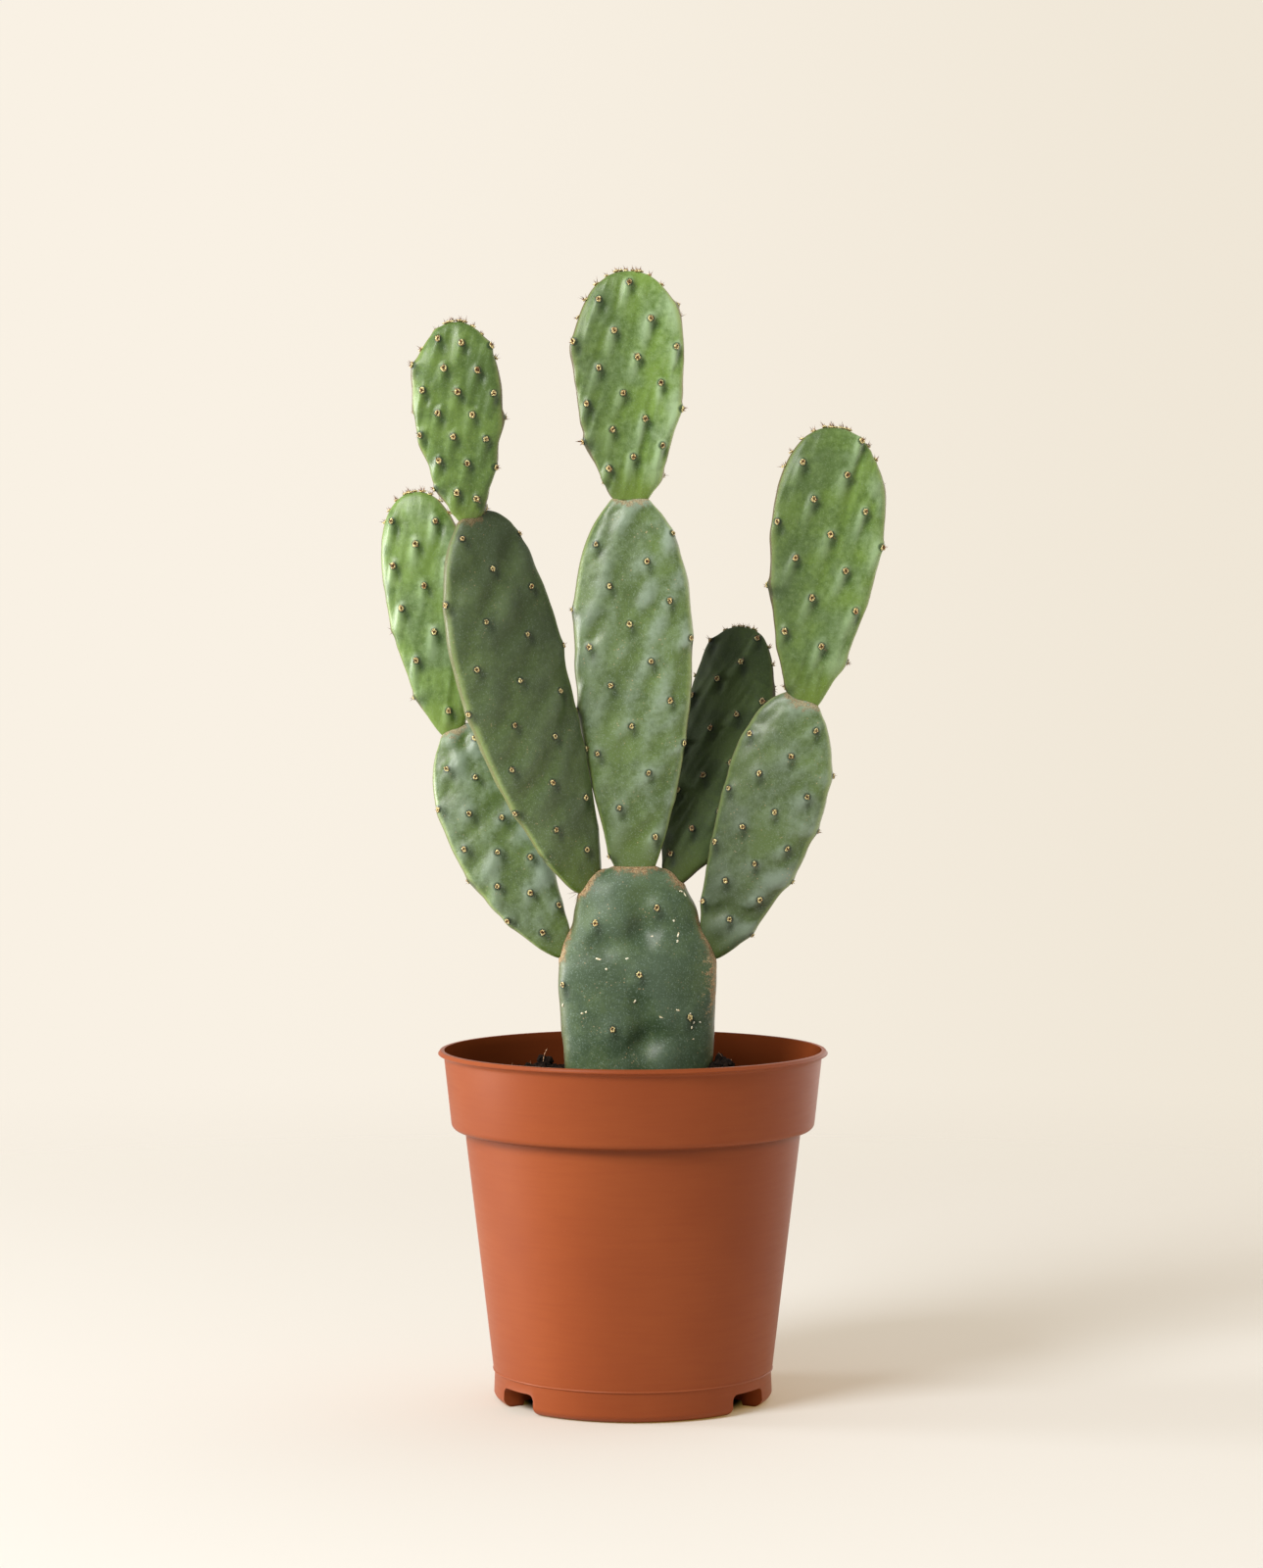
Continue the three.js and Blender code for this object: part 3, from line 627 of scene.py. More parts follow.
# The colours of each kind of skin, and how strong its bloom is. Its pale rim colour is partly the rims'
# own paler green and partly painted light; its dark dent colour is painted shade below each areole.
skinLooks = {
    "trunk": {
        "deep": srgb(66, 88, 58), "fresh": srgb(84, 106, 66), "bloom": srgb(130, 152, 134),
        "neck": srgb(96, 114, 60), "edge": srgb(112, 120, 74), "dentShade": srgb(36, 52, 34),
        "bloomShare": 0.34, "rough": 0.47, "coat": 0.15, "flecks": 0.6, "cork": 1.0, "pores": 0.7,
        "streak": 0.3, "scab": 3.4, "rim": 0.3,
    },
    "old": {
        "deep": srgb(78, 99, 50), "fresh": srgb(98, 121, 64), "bloom": srgb(150, 168, 150),
        "neck": srgb(84, 106, 30), "edge": srgb(150, 170, 98), "dentShade": srgb(40, 58, 30),
        "bloomShare": 0.58, "rough": 0.39, "coat": 0.42, "flecks": 0.5, "cork": 0.6, "pores": 0.4,
        "streak": 0.5, "scab": 2.1, "rim": 0.4,
    },
    "young": {
        "deep": srgb(80, 108, 40), "fresh": srgb(107, 136, 56), "bloom": srgb(160, 184, 144),
        "neck": srgb(104, 128, 38), "edge": srgb(134, 152, 76), "dentShade": srgb(36, 62, 28),
        "bloomShare": 0.44, "rough": 0.4, "coat": 0.3, "flecks": 0.1, "cork": 0.4, "pores": 0.25,
        "streak": 1.0, "scab": 2.0, "rim": 0.7,
    },
}
corkColours = {
    "pale": srgb(206, 176, 132), "dark": srgb(122, 84, 50), "line": srgb(58, 44, 26),
    "rim": srgb(106, 66, 44), "scratch": srgb(176, 182, 148),
}


def makeSkin(kind):
    look = skinLooks[kind]
    fixed = {"IOR": 1.45, "Coat Roughness": 0.35, "Coat IOR": 1.4}
    material, shader, graph = newMaterial(kind + "_skin", fixed)
    place = inMillimetres(graph)
    station = graph.attribute("station")
    rim = abs(graph.attribute("rim"))
    relieved = graph.attribute("relief")
    cloud = graph.noise(place, 0.055, 3.0, 0.55)
    mottle = graph.noise(place, 0.42, 5.0, 0.62)
    grain = graph.noise(place, 2.2, 3.0, 0.6)
    colour = graph.tint(graph.ease(cloud + (mottle - 0.5) * 0.5, 0.35, 0.68), look["deep"], look["fresh"])
    # Bloom with painted sheen: its own patches, made paler where the relief is raised as a painted
    # highlight on crests.
    waxy = graph.ease(cloud * -0.6 + mottle * 0.55 + relieved * 0.55 + 0.5, 0.3, 0.95)
    bloom = waxy * graph.attribute("waxy") * look["bloomShare"]
    colour = graph.tint(bloom, colour, look["bloom"])
    young = 1 - graph.ease(station, 0.02, 0.2)
    colour = graph.tint(young * 0.75, colour, look["neck"])
    # The rims are paler: partly their own colour, partly painted light.
    edge = graph.ease(rim + (mottle - 0.5) * 0.06, 0.89, 0.98)
    colour = graph.tint(edge * 0.65, colour, look["edge"])
    ridge = graph.ease(rim + (grain - 0.5) * 0.02, 0.972, 0.992)
    colour = graph.tint(ridge * look["rim"], colour, corkColours["rim"])
    # Painted shade in the dent below and right of each areole.
    dentShade = graph.attribute("shade")
    colour = graph.tint(dentShade * 0.75, colour, look["dentShade"])
    near = graph.attribute("nearest")
    # Darker round each areole, in the same dark green.
    outline = 1 - graph.ease(near, 1.3, 2.3)
    colour = graph.tint(outline * 0.9, colour, look["dentShade"])
    freckle = graph.add("ShaderNodeTexVoronoi", {}, {"Vector": place, "Scale": 0.55}, out="Distance")
    chance = graph.ease(graph.noise(place, 0.12, 2.0), 0.5, 0.66)
    speck = (1 - graph.ease(freckle, 0.1, 0.2)) * chance
    colour = graph.tint(speck * look["flecks"], colour, corkColours["pale"])
    seat = graph.attribute("seatGap")
    scab = 1 - graph.ease(seat + (mottle - 0.5) * 9 + (grain - 0.5) * 5, look["scab"] * 0.2, look["scab"])
    if kind == "trunk":
        height = graph.add("ShaderNodeSeparateXYZ", {}, {0: place}).other(2)
        strip = graph.ease(graph.attribute("rim"), 0.7, 0.98) * graph.ease(height, 206.0, 190.0)
        strip = strip * (1 - graph.ease(height, 178.0, 158.0) * 0.7)
        crust = graph.ease(mottle + grain * 0.7 + strip * 0.3, 1.1, 1.2) * graph.ease(strip, 0.0, 0.2)
        scab = scab.maths("MAXIMUM", scab, crust)
        lines = {"Vector": place, "Scale": 0.16, "Distortion": 5.0, "Detail": 2.0}
        wave = graph.add("ShaderNodeTexWave", {"bands_direction": "DIAGONAL"}, lines, out="Fac")
        low = graph.ease(height, 168.0, 150.0) * graph.ease(mottle, 0.52, 0.66)
        scratch = graph.ease(wave, 0.95, 1.0) * low
        colour = graph.tint(scratch * 0.35, colour, corkColours["scratch"])
    corky = graph.tint(graph.ease(grain, 0.38, 0.6), corkColours["dark"], corkColours["pale"])
    colour = graph.tint(scab * look["cork"], colour, corky)
    neck = graph.attribute("neckGap")
    line = 1 - graph.ease(neck + (mottle - 0.5) * 0.8, 0.5, 1.3)
    colour = graph.tint(line * 0.75, colour, corkColours["line"])
    pore = graph.ease(graph.noise(place, 1.4, 3.0, 0.75), 0.53, 0.68)
    colour = graph.tint(pore * look["pores"], colour, look["bloom"])
    # The tone attribute multiplies the colour: painted light and shade over each pad's own lightness.
    tone = graph.attribute("tone")
    toneAndShadingRGB = graph.add("ShaderNodeCombineXYZ", {}, {0: tone, 1: tone, 2: tone})
    colour = graph.tint(1.0, colour, toneAndShadingRGB, "MULTIPLY")
    dull = 1 - graph.ease(tone, 0.3, 0.8)
    rough = look["rough"] + (mottle - 0.5) * 0.22 + waxy * 0.06 + scab * 0.3 + dull * 0.4
    coat = (1 - scab) * (1 - dull) * look["coat"]
    slanted = graph.vector("MULTIPLY", place, (0.26, 0.26, 0.05))
    streak = graph.noise(slanted, 1.0, 3.0, 0.55)
    skinGrain = mottle * 0.5 + grain * 0.45 + streak * look["streak"] + scab * (grain - 0.5) * 1.4
    normal = bumped(graph, skinGrain, 0.5, 0.35)
    connect(
        graph, shader, {"Base Color": colour, "Roughness": rough, "Coat Weight": coat, "Normal": normal}
    )
    return material


skins = {kind: makeSkin(kind) for kind in skinLooks}
slots = {"trunk": "trunk_skin", "old": "old_pad_skin", "young": "young_pad_skin"}
faces = skinFaces(padForm["stemRows"] + padForm["crownRows"], padForm["round"])
for pad in pads.values():
    mesh = newMesh(pad["name"] + "_skin", pad["points"], faces, pad["paint"])
    mesh.materials.append(skins[pad["skin"]])
    made = newObject("skin_" + pad["name"], mesh)
    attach(made, "root")
    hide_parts("pad_" + pad["name"])
print("pads made:", len(pads))

# ---- areoles ----

woolForm = {
    "Ring Radius": 0.75,
    "Wool Radius": 0.32,
    "Oval": 1.22,
    "Ruffle": 0.8,
}
areoleSize = {"trunk": 1.0, "old": 0.92, "young": 1.05}
bristleForm = {
    "trunk": {"Count": 7, "Length": 1.1, "Thickness": 0.12, "Spread": 1.1},
    "old": {"Count": 8, "Length": 1.1, "Thickness": 0.12, "Spread": 1.1},
    "young": {"Count": 11, "Length": 1.5, "Thickness": 0.11, "Spread": 1.0},
}
spineForm = {
    "trunk": {"Count": 2, "Length": 1.8, "Thickness": 0.16, "Spread": 0.9},
    "old": {"Count": 2, "Length": 1.7, "Thickness": 0.15, "Spread": 0.9},
    "young": {"Count": 3, "Length": 2.5, "Thickness": 0.17, "Spread": 0.75},
}
# A row of crowded areoles on the tip of a young pad, and more along its crown: angles from the tip.
tipRow = {"angles": (-13, -8, -3, 3, 8, 13), "depth": 1.1, "lift": 0.4, "size": 1.05}
crownRow = {"angles": (-62, -49, -36, -24, 24, 36, 49, 62), "depth": 0.6, "lift": 0.3, "size": 1.0}


def makeWool():
    fixed = {"IOR": 1.3, "Sheen Weight": 0.3, "Roughness": 0.95}
    material, shader, graph = newMaterial("areole_wool", fixed)
    place = inMillimetres(graph)
    tuft = graph.noise(place, 1.9, 3.0)
    hue = graph.noise(place, 0.16, 1.0)
    colour = graph.tint(graph.ease(tuft, 0.42, 0.55), srgb(136, 94, 46), srgb(255, 243, 174))
    colour = graph.tint(graph.ease(hue, 0.5, 0.75) * 0.35, colour, srgb(214, 166, 106))
    # Painted shade: the wool of a shaded pad is darkened by its lit share.
    lit = graph.attribute("lit")
    shares = graph.add("ShaderNodeCombineXYZ", {}, {0: lit, 1: lit, 2: lit})
    colour = graph.tint(1.0, colour, shares, "MULTIPLY")
    connect(graph, shader, {"Base Color": colour, "Normal": bumped(graph, tuft, 0.6, 0.4)})
    return material


def makeHeart():
    material, shader, graph = newMaterial("areole_heart", {"Roughness": 0.9})
    place = inMillimetres(graph)
    tuft = graph.noise(place, 2.5, 2.0)
    colour = graph.tint(graph.ease(tuft, 0.4, 0.65), srgb(48, 32, 17), srgb(110, 78, 40))
    connect(graph, shader, {"Base Color": colour})
    return material


def makeBristle(name, dark, pale, rough):
    material, shader, graph = newMaterial(name, {"Roughness": rough})
    place = inMillimetres(graph)
    streak = graph.noise(place, 1.1, 2.0)
    colour = graph.tint(graph.ease(streak, 0.35, 0.65), dark, pale)
    connect(graph, shader, {"Base Color": colour})
    return material


# The way an areole or bristle stands: its Z along a direction, its Y towards the pad's tip.
def standing(graph, direction):
    first = graph.add(
        "FunctionNodeAlignRotationToVector", {"axis": "Z", "pivot_axis": "AUTO"}, {"Vector": direction}
    )
    upward = namedVector(graph, "upward")
    settings = {"axis": "Y", "pivot_axis": "Z"}
    return graph.add(
        "FunctionNodeAlignRotationToVector", settings, {"Rotation": first, "Vector": upward}
    )


def namedVector(graph, name):
    return graph.add("GeometryNodeInputNamedAttribute", {"data_type": "FLOAT_VECTOR"}, {"Name": name})


def namedNumber(graph, name):
    return graph.add("GeometryNodeInputNamedAttribute", {"data_type": "FLOAT"}, {"Name": name})


def randomVector(graph, low, high, seed):
    values = {0: (low,) * 3, 1: (high,) * 3, "Seed": seed}
    return graph.add("FunctionNodeRandomValue", {"data_type": "FLOAT_VECTOR"}, values)


def randomNumber(graph, low, high, seed):
    values = {2: low, 3: high, "Seed": seed}
    return graph.add("FunctionNodeRandomValue", {"data_type": "FLOAT"}, values, out=1)


# A woolly ring with a dark heart on every point.
def areoleTree(wool, heart):
    tree, graph, inputs = newTree("areole", woolForm)
    values = {"Resolution": 11, "Radius": inputs["Ring Radius"]}
    big = graph.add("GeometryNodeCurvePrimitiveCircle", {}, values)
    values = {"Resolution": 5, "Radius": inputs["Wool Radius"]}
    small = graph.add("GeometryNodeCurvePrimitiveCircle", {}, values)
    ring = graph.add("GeometryNodeCurveToMesh", {}, {"Curve": big, "Profile Curve": small})
    stretch = graph.add("ShaderNodeCombineXYZ", {}, {0: 1.0, 1: inputs["Oval"], 2: 0.85})
    ring = graph.add("GeometryNodeTransform", {}, {"Geometry": ring, "Scale": stretch})
    ring = graph.add("GeometryNodeSetShadeSmooth", {}, {"Geometry": ring})
    ring = graph.add("GeometryNodeSetMaterial", {}, {"Geometry": ring, "Material": wool})
    values = {"Radius": inputs["Ring Radius"] * 0.8, "Subdivisions": 1}
    dot = graph.add("GeometryNodeMeshIcoSphere", {}, values)
    dot = graph.add("GeometryNodeTransform", {}, {"Geometry": dot, "Scale": (1.0, 1.2, 0.3)})
    dot = graph.add("GeometryNodeSetMaterial", {}, {"Geometry": dot, "Material": heart})
    areole = graph.add("GeometryNodeJoinGeometry", {}, {0: [ring, dot]})
    size = namedNumber(graph, "size")
    values = {
        "Points": inputs["Geometry"],
        "Instance": areole,
        "Rotation": standing(graph, namedVector(graph, "outward")),
        "Scale": size,
    }
    placed = graph.add("GeometryNodeInstanceOnPoints", {}, values)
    solid = graph.add("GeometryNodeRealizeInstances", {}, {"Geometry": placed})
    spot = graph.add("GeometryNodeInputPosition")
    rough = graph.noise(spot, 1150.0, 1.0, out="Color")
    shift = graph.scaled(graph.vector("SUBTRACT", rough, (0.5, 0.5, 0.5)), inputs["Ruffle"] * 2)
    solid = graph.add("GeometryNodeSetPosition", {}, {"Geometry": solid, "Offset": shift})
    finishTree(graph, solid)
    return tree


# Thin cones that stand out of every point, spread at random about its outward direction.
def bristleTree(name, material, seed):
    numbers = {"Count": 3, "Length": 0.001, "Thickness": 0.0001, "Spread": 0.8, "Root": 0.0006}
    tree, graph, inputs = newTree(name, numbers)
    points = graph.add("GeometryNodeMeshToPoints", {}, {"Mesh": inputs["Geometry"]})
    values = {"Geometry": points, "Amount": inputs["Count"]}
    copies = graph.add("GeometryNodeDuplicateElements", {"domain": "POINT"}, values)
    aside = randomVector(graph, -1.0, 1.0, seed)
    size = namedNumber(graph, "size")
    outward = namedVector(graph, "outward")
    shift = graph.scaled(aside, inputs["Root"] * size)
    rooted = graph.add("GeometryNodeSetPosition", {}, {"Geometry": copies, "Offset": shift})
    direction = graph.vector("ADD", outward, graph.scaled(aside, inputs["Spread"]))
    direction = graph.vector("ADD", direction, graph.scaled(namedVector(graph, "upward"), 0.25))
    cone = graph.add(
        "GeometryNodeMeshCone",
        {},
        {
            "Vertices": 4,
            "Side Segments": 1,
            "Fill Segments": 1,
            "Radius Top": 0.0,
            "Radius Bottom": inputs["Thickness"],
            "Depth": inputs["Length"],
        },
    )
    cone = graph.add("GeometryNodeSetMaterial", {}, {"Geometry": cone, "Material": material})
    values = {
        "Points": rooted,
        "Instance": cone,
        "Rotation": standing(graph, direction),
        "Scale": size * randomNumber(graph, 0.55, 1.15, seed + 1),
    }
    placed = graph.add("GeometryNodeInstanceOnPoints", {}, values)
    finishTree(graph, graph.add("GeometryNodeRealizeInstances", {}, {"Geometry": placed}))
    return tree


# The areoles of all pads of one skin, with their outward and upward directions and sizes.
def areoleCarrier(kind, seed):
    rng = np.random.default_rng(seed)
    places, outward, upward, sizes, lit = [], [], [], [], []
    for pad in pads.values():
        if pad["skin"] != kind:
            continue
        shine = min(0.2 + pad["tone"][0], 1.0)  # painted shade: the wool on a shaded pad is darkened too
        for place, normal in zip(pad["spotTop"], pad["spotNormal"]):
            places.append(place + normal * 0.1)
            outward.append(normal)
            upward.append(unit(pad["along"] - normal * (pad["along"] @ normal)))
            sizes.append(areoleSize[kind] * rng.uniform(0.9, 1.12))
            lit.append(shine)
        if kind != "young":
            continue
        for row in (tipRow, crownRow):
            for angle in row["angles"]:
                angle += rng.uniform(-2, 2)
                station = min(float(crownStation(pad, angle)), 0.9995)
                across = pad["width"] / 2 * math.sin(math.radians(angle))
                depth = rng.uniform(-1, 1) * row["depth"]
                away = unit(pad["along"] + pad["side"] * math.tan(math.radians(angle * 0.75)))
                place = padPlaces(pad, station, across, depth) + away * row["lift"]
                if row is crownRow and np.linalg.norm(pad["spotPlace"] - place, axis=1).min() < 4.5:
                    continue
                places.append(place)
                outward.append(unit(away + pad["face"] * depth * 0.4))
                upward.append(np.cross(pad["face"], away))
                sizes.append(row["size"] * rng.uniform(0.8, 1.1))
                lit.append(shine)
    paint = {"outward": outward, "upward": upward, "size": sizes, "lit": lit}
    return places, paint


wool = makeWool()
heart = makeHeart()
glochid = makeBristle("glochid", srgb(92, 56, 32), srgb(170, 112, 62), 0.6)
spineSkin = makeBristle("spine", srgb(66, 42, 26), srgb(136, 92, 58), 0.45)
woolTree = areoleTree(wool, heart)
glochidTree = bristleTree("glochids", glochid, 5)
spineTree = bristleTree("spines", spineSkin, 9)
scaleOf = {"Count": 1, "Spread": 1.0, "Oval": 1.0}


def inMetres(form):
    return {key: value * scaleOf.get(key, millimetre) for key, value in form.items()}


def finishPiece(made, slotName, *nodes):
    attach(made, "root")
    if nodes:
        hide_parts(*nodes)


for order, kind in enumerate(skins):
    places, paint = areoleCarrier(kind, 31 + order)
    for label, tree, form in (
        ("areoles", woolTree, woolForm),
        ("glochids", glochidTree, bristleForm[kind]),
        ("spines", spineTree, spineForm[kind]),
    ):
        carrier = newMesh(label + "_" + kind, places, [], paint)
        values = inMetres(form)
        if "Count" in form:
            values["Count"] = form["Count"]
        piece = grown(label + "_" + kind, tree, carrier, values)
        finishPiece(piece, slots[kind])
        print(label, kind, len(piece.data.polygons), "faces")


# ---- scars and hairs on the trunk pad ----

# Each scar's place across and up on the front, its length and its slant in degrees.
scarTable = (
    (-14.9, 193.1, 2.9, -14), (-11.5, 188.8, 1.2, -50), (-2.5, 193.5, 1.5, 10), (8.5, 202.9, 1.9, -5),
    (0.8, 174.8, 1.6, 62), (-22.2, 169.4, 1.6, 20), (-20.4, 170.0, 1.1, 50), (12.3, 168.0, 2.2, -32),
    (19.5, 171.0, 2.0, -22), (24.8, 169.3, 0.9, 30), (26.3, 165.4, 1.6, 60), (25.5, 163.3, 1.5, 80),
    (25.9, 158.2, 1.8, 15), (29.3, 165.4, 1.6, -45), (17.8, 209.7, 1.2, -40), (19.6, 203.6, 2.4, 72),
    (19.3, 200.9, 1.5, 85), (21.0, 222.2, 2.4, 5), (22.6, 220.9, 2.2, -65), (-30.5, 172.5, 1.8, 80),
)
scarForm = {"Wide": 0.85, "Thick": 0.45, "Ruffle": 0.35}
hairForm = {"Count": 6, "Length": 5.5, "Thickness": 0.1, "Spread": 0.45}
hairSpot = {"place": (-24.0, -9.5, 221.5), "outward": (-0.6, -0.3, -0.75)}


def makeScar():
    material, shader, graph = newMaterial("scar", {"Roughness": 0.8})
    place = inMillimetres(graph)
    crust = graph.noise(place, 1.4, 3.0)
    colour = graph.tint(graph.ease(crust, 0.36, 0.6), srgb(214, 196, 150), srgb(255, 250, 226))
    connect(graph, shader, {"Base Color": colour, "Normal": bumped(graph, crust, 0.5, 0.3)})
    return material


# Flat crusts, their length along the upward direction.
def scarTree(material):
    numbers = {"Wide": 0.0008, "Thick": 0.0005, "Ruffle": 0.0003}
    tree, graph, inputs = newTree("scars", numbers)
    crust = graph.add("GeometryNodeMeshIcoSphere", {}, {"Radius": 0.5, "Subdivisions": 2})
    size = graph.add(
        "ShaderNodeCombineXYZ",
        {},
        {0: inputs["Wide"], 1: namedNumber(graph, "size") * millimetre, 2: inputs["Thick"]},
    )
    values = {
        "Points": inputs["Geometry"],
        "Instance": crust,
        "Rotation": standing(graph, namedVector(graph, "outward")),
        "Scale": size,
    }
    placed = graph.add("GeometryNodeInstanceOnPoints", {}, values)
    solid = graph.add("GeometryNodeRealizeInstances", {}, {"Geometry": placed})
    spot = graph.add("GeometryNodeInputPosition")
    rough = graph.noise(spot, 1300.0, 1.0, out="Color")
    shift = graph.scaled(graph.vector("SUBTRACT", rough, (0.5, 0.5, 0.5)), inputs["Ruffle"] * 2)
    solid = graph.add("GeometryNodeSetPosition", {}, {"Geometry": solid, "Offset": shift})
    solid = graph.add("GeometryNodeSetShadeSmooth", {}, {"Geometry": solid})
    finishTree(graph, graph.add("GeometryNodeSetMaterial", {}, {"Geometry": solid, "Material": material}))
    return tree


def scarCarrier():
    pad = pads["base"]
    front = skinNormals(pad, pad["ringStation"], pad["ringAngle"])
    gap = np.where(pad["lifted"][:, 1] < 0, 0.0, 99.0)
    places, outward, upward, sizes = [], [], [], []
    for across, height, length, slant in scarTable:
        away = np.hypot(pad["lifted"][:, 0] - across, pad["lifted"][:, 2] - height) + gap
        near = int(np.argmin(away))
        places.append((across, pad["lifted"][near][1], height))
        outward.append(front[near])
        turn = math.radians(slant)
        upward.append((math.cos(turn), 0, math.sin(turn)))
        sizes.append(length)
    paint = {"outward": outward, "upward": upward, "size": sizes}
    return newMesh("trunk_scars", places, [], paint)


finishPiece(grown("trunk_scars", scarTree(makeScar()), scarCarrier(), inMetres(scarForm)), slots["trunk"])
hairPaint = {"outward": [hairSpot["outward"]], "upward": [(0, 0, 1)], "size": [1.0]}
hairCarrier = newMesh("trunk_hairs", [hairSpot["place"]], [], hairPaint)
hairNumbers = dict(inMetres(hairForm), Count=hairForm["Count"], Root=0.001)
hairs = grown("trunk_hairs", spineTree, hairCarrier, hairNumbers)
finishPiece(hairs, slots["trunk"])

# ---- pot ----

pot = {
    "height": 153.0, "lipRadius": 85.0, "lipTopRadius": 84.1, "lipHeight": 4.0,
    "bandTop": 82.3, "bandLowRadius": 79.3, "bandLow": 118.5, "bandCorner": 3.0,
    "bodyTop": 73.6, "seamRadius": 61.0, "seamHeight": 13.6, "footRadius": 56.0,
    "footCorner": 5.0, "footRing": 5.5, "wall": 1.5, "floorUnder": 2.2, "floorThick": 1.8,
    "sides": 160,
}
channel = {
    "angles": (90, 214.3, 325.7), "width": 23.0, "height": 9.0, "corner": 3.0,
    "inner": 24.0, "drainRadius": 4.2, "drainAt": 40.0,
}


# Points of an arc in a profile, from one angle to another in degrees.
def arc(radius, height, size, start, end, steps=6):
    angles = np.radians(np.linspace(start, end, steps))
    return [(radius + size * math.cos(a), height + size * math.sin(a)) for a in angles]


def potProfile():
    corner = pot["footCorner"]
    lipLow = pot["height"] - pot["lipHeight"]
    inset = pot["footRadius"] - pot["footRing"]
    band = pot["bandCorner"]
    bodyUnder = pot["bodyTop"] - 0.3
    return [
        (0, pot["floorUnder"]),
        (inset - 0.6, pot["floorUnder"]),
        (inset, pot["floorUnder"] - 0.5),
        (inset + 0.4, 0),
        *arc(pot["footRadius"], corner, corner, -88, -18, 8),
        (pot["seamRadius"] - 0.6, pot["seamHeight"] - 0.9),
        (pot["seamRadius"] - 0.4, pot["seamHeight"] - 0.45),
        *arc(pot["seamRadius"] - 0.1, pot["seamHeight"], 0.36, -80, 80, 5),
        (pot["seamRadius"] + 0.06, pot["seamHeight"] + 0.8),
        (mixed(pot["seamRadius"], bodyUnder, 0.5), mixed(pot["seamHeight"], pot["bandLow"], 0.5)),
        (bodyUnder, pot["bandLow"] - 0.8),
        (bodyUnder + 0.8, pot["bandLow"]),
        *arc(pot["bandLowRadius"] - band, pot["bandLow"] + band, band, -86, -6, 8),
        (pot["bandTop"] - 0.05, lipLow - 0.8),
        *arc(pot["bandTop"] + 2.0, lipLow + 0.1, 2.0, 176, 98, 7),
        *arc(pot["lipRadius"] - 0.5, lipLow + 2.6, 0.5, -78, 0, 5),
        *arc(pot["lipTopRadius"] - 0.5, pot["height"] - 0.9, 0.9, 10, 110, 7),
        (0, pot["height"] - 0.2),
    ]


def insideProfile():
    wall = pot["wall"]
    floor = pot["floorUnder"] + pot["floorThick"]
    ledge = pot["bandLow"] + wall
    return [
        (0, floor),
        (pot["seamRadius"] - wall - 3, floor),
        (pot["seamRadius"] - wall, pot["seamHeight"] + 1),
        (pot["bodyTop"] - wall, ledge),
        (pot["bandLowRadius"] - wall, ledge + pot["bandCorner"]),
        (pot["lipTopRadius"] - 3.4, pot["height"] - 4),
        (pot["lipTopRadius"] - 2.2, pot["height"] - 0.9),
        (pot["lipTopRadius"] - 1.6, pot["height"] + 0.2),
        (pot["lipTopRadius"] - 1.6, pot["height"] + 8),
        (0, pot["height"] + 8),
    ]


# A tree that turns a profile about the vertical axis. The profile's points hold radius and height.
def turningTree():
    tree, graph, inputs = newTree("turned_profile", {"Sides": 64, "Rows": 10})
    grid = graph.add(
        "GeometryNodeMeshGrid",
        {},
        {
            "Size X": 1.0,
            "Size Y": 1.0,
            "Vertices X": inputs["Sides"] + 1,
            "Vertices Y": inputs["Rows"],
        },
    )
    index = graph.add("GeometryNodeInputIndex")
    column = (index / inputs["Rows"]).maths("FLOOR", index / inputs["Rows"])
    row = index - column * inputs["Rows"]
    position = graph.add("GeometryNodeInputPosition")
    sampled = graph.add(
        "GeometryNodeSampleIndex",
        {"data_type": "FLOAT_VECTOR", "domain": "POINT"},
        {"Geometry": inputs["Geometry"], "Value": position, "Index": row},
    )
    split = graph.add("ShaderNodeSeparateXYZ", {}, {0: sampled})
    turn = column / inputs["Sides"] * (2 * math.pi)
    radius = split.other(0)
    place = graph.add(
        "ShaderNodeCombineXYZ",
        {},
        {
            0: radius * turn.maths("COSINE", turn),
            1: radius * turn.maths("SINE", turn),
            2: split.other(2),
        },
    )
    placed = graph.add("GeometryNodeSetPosition", {}, {"Geometry": grid, "Position": place})
    closed = graph.add("GeometryNodeMergeByDistance", {}, {"Geometry": placed, "Distance": 1e-5})
    finishTree(graph, closed)
    return tree


turning = turningTree()


def turned(name, profile, sides):
    points = [(radius, 0, height) for radius, height in profile]
    carrier = newMesh(name, points, [])
    return grown(name, turning, carrier, {"Sides": sides, "Rows": len(points)})


# A block with rounded top corners under the pot, along one of its channels.
def channelBlock(name, angle, growth):
    half = channel["width"] / 2 + growth
    high = channel["height"] + growth
    corner = channel["corner"]
    outline = [(half, -5.0), *arc(half - corner, high - corner, corner, 0, 90, 6)]
    outline += [(-across, height) for across, height in reversed(outline)]
    ends = (channel["inner"] - growth, pot["lipRadius"] + 5)
    heading = math.radians(angle)
    out = np.array([math.cos(heading), math.sin(heading), 0])
    side = np.array([-math.sin(heading), math.cos(heading), 0])
    points = [out * end + side * x + np.array([0, 0, z]) for end in ends for x, z in outline]
    count = len(outline)
    faces = [tuple(range(count - 1, -1, -1)), tuple(range(count, 2 * count))]
    faces += [(i, (i + 1) % count, (i + 1) % count + count, i + count) for i in range(count)]
    return newObject(name, newMesh(name, points, faces))


def drainHole(name, angle):
    heading = math.radians(angle)
    centre = channel["drainAt"] * np.array([math.cos(heading), math.sin(heading)])
    profile = [(0, -10), (channel["drainRadius"], -10), (channel["drainRadius"], 20), (0, 20)]
    made = turned(name, profile, 32)
    made.data.transform(Matrix.Translation((*(centre * millimetre), 0)))
    return made


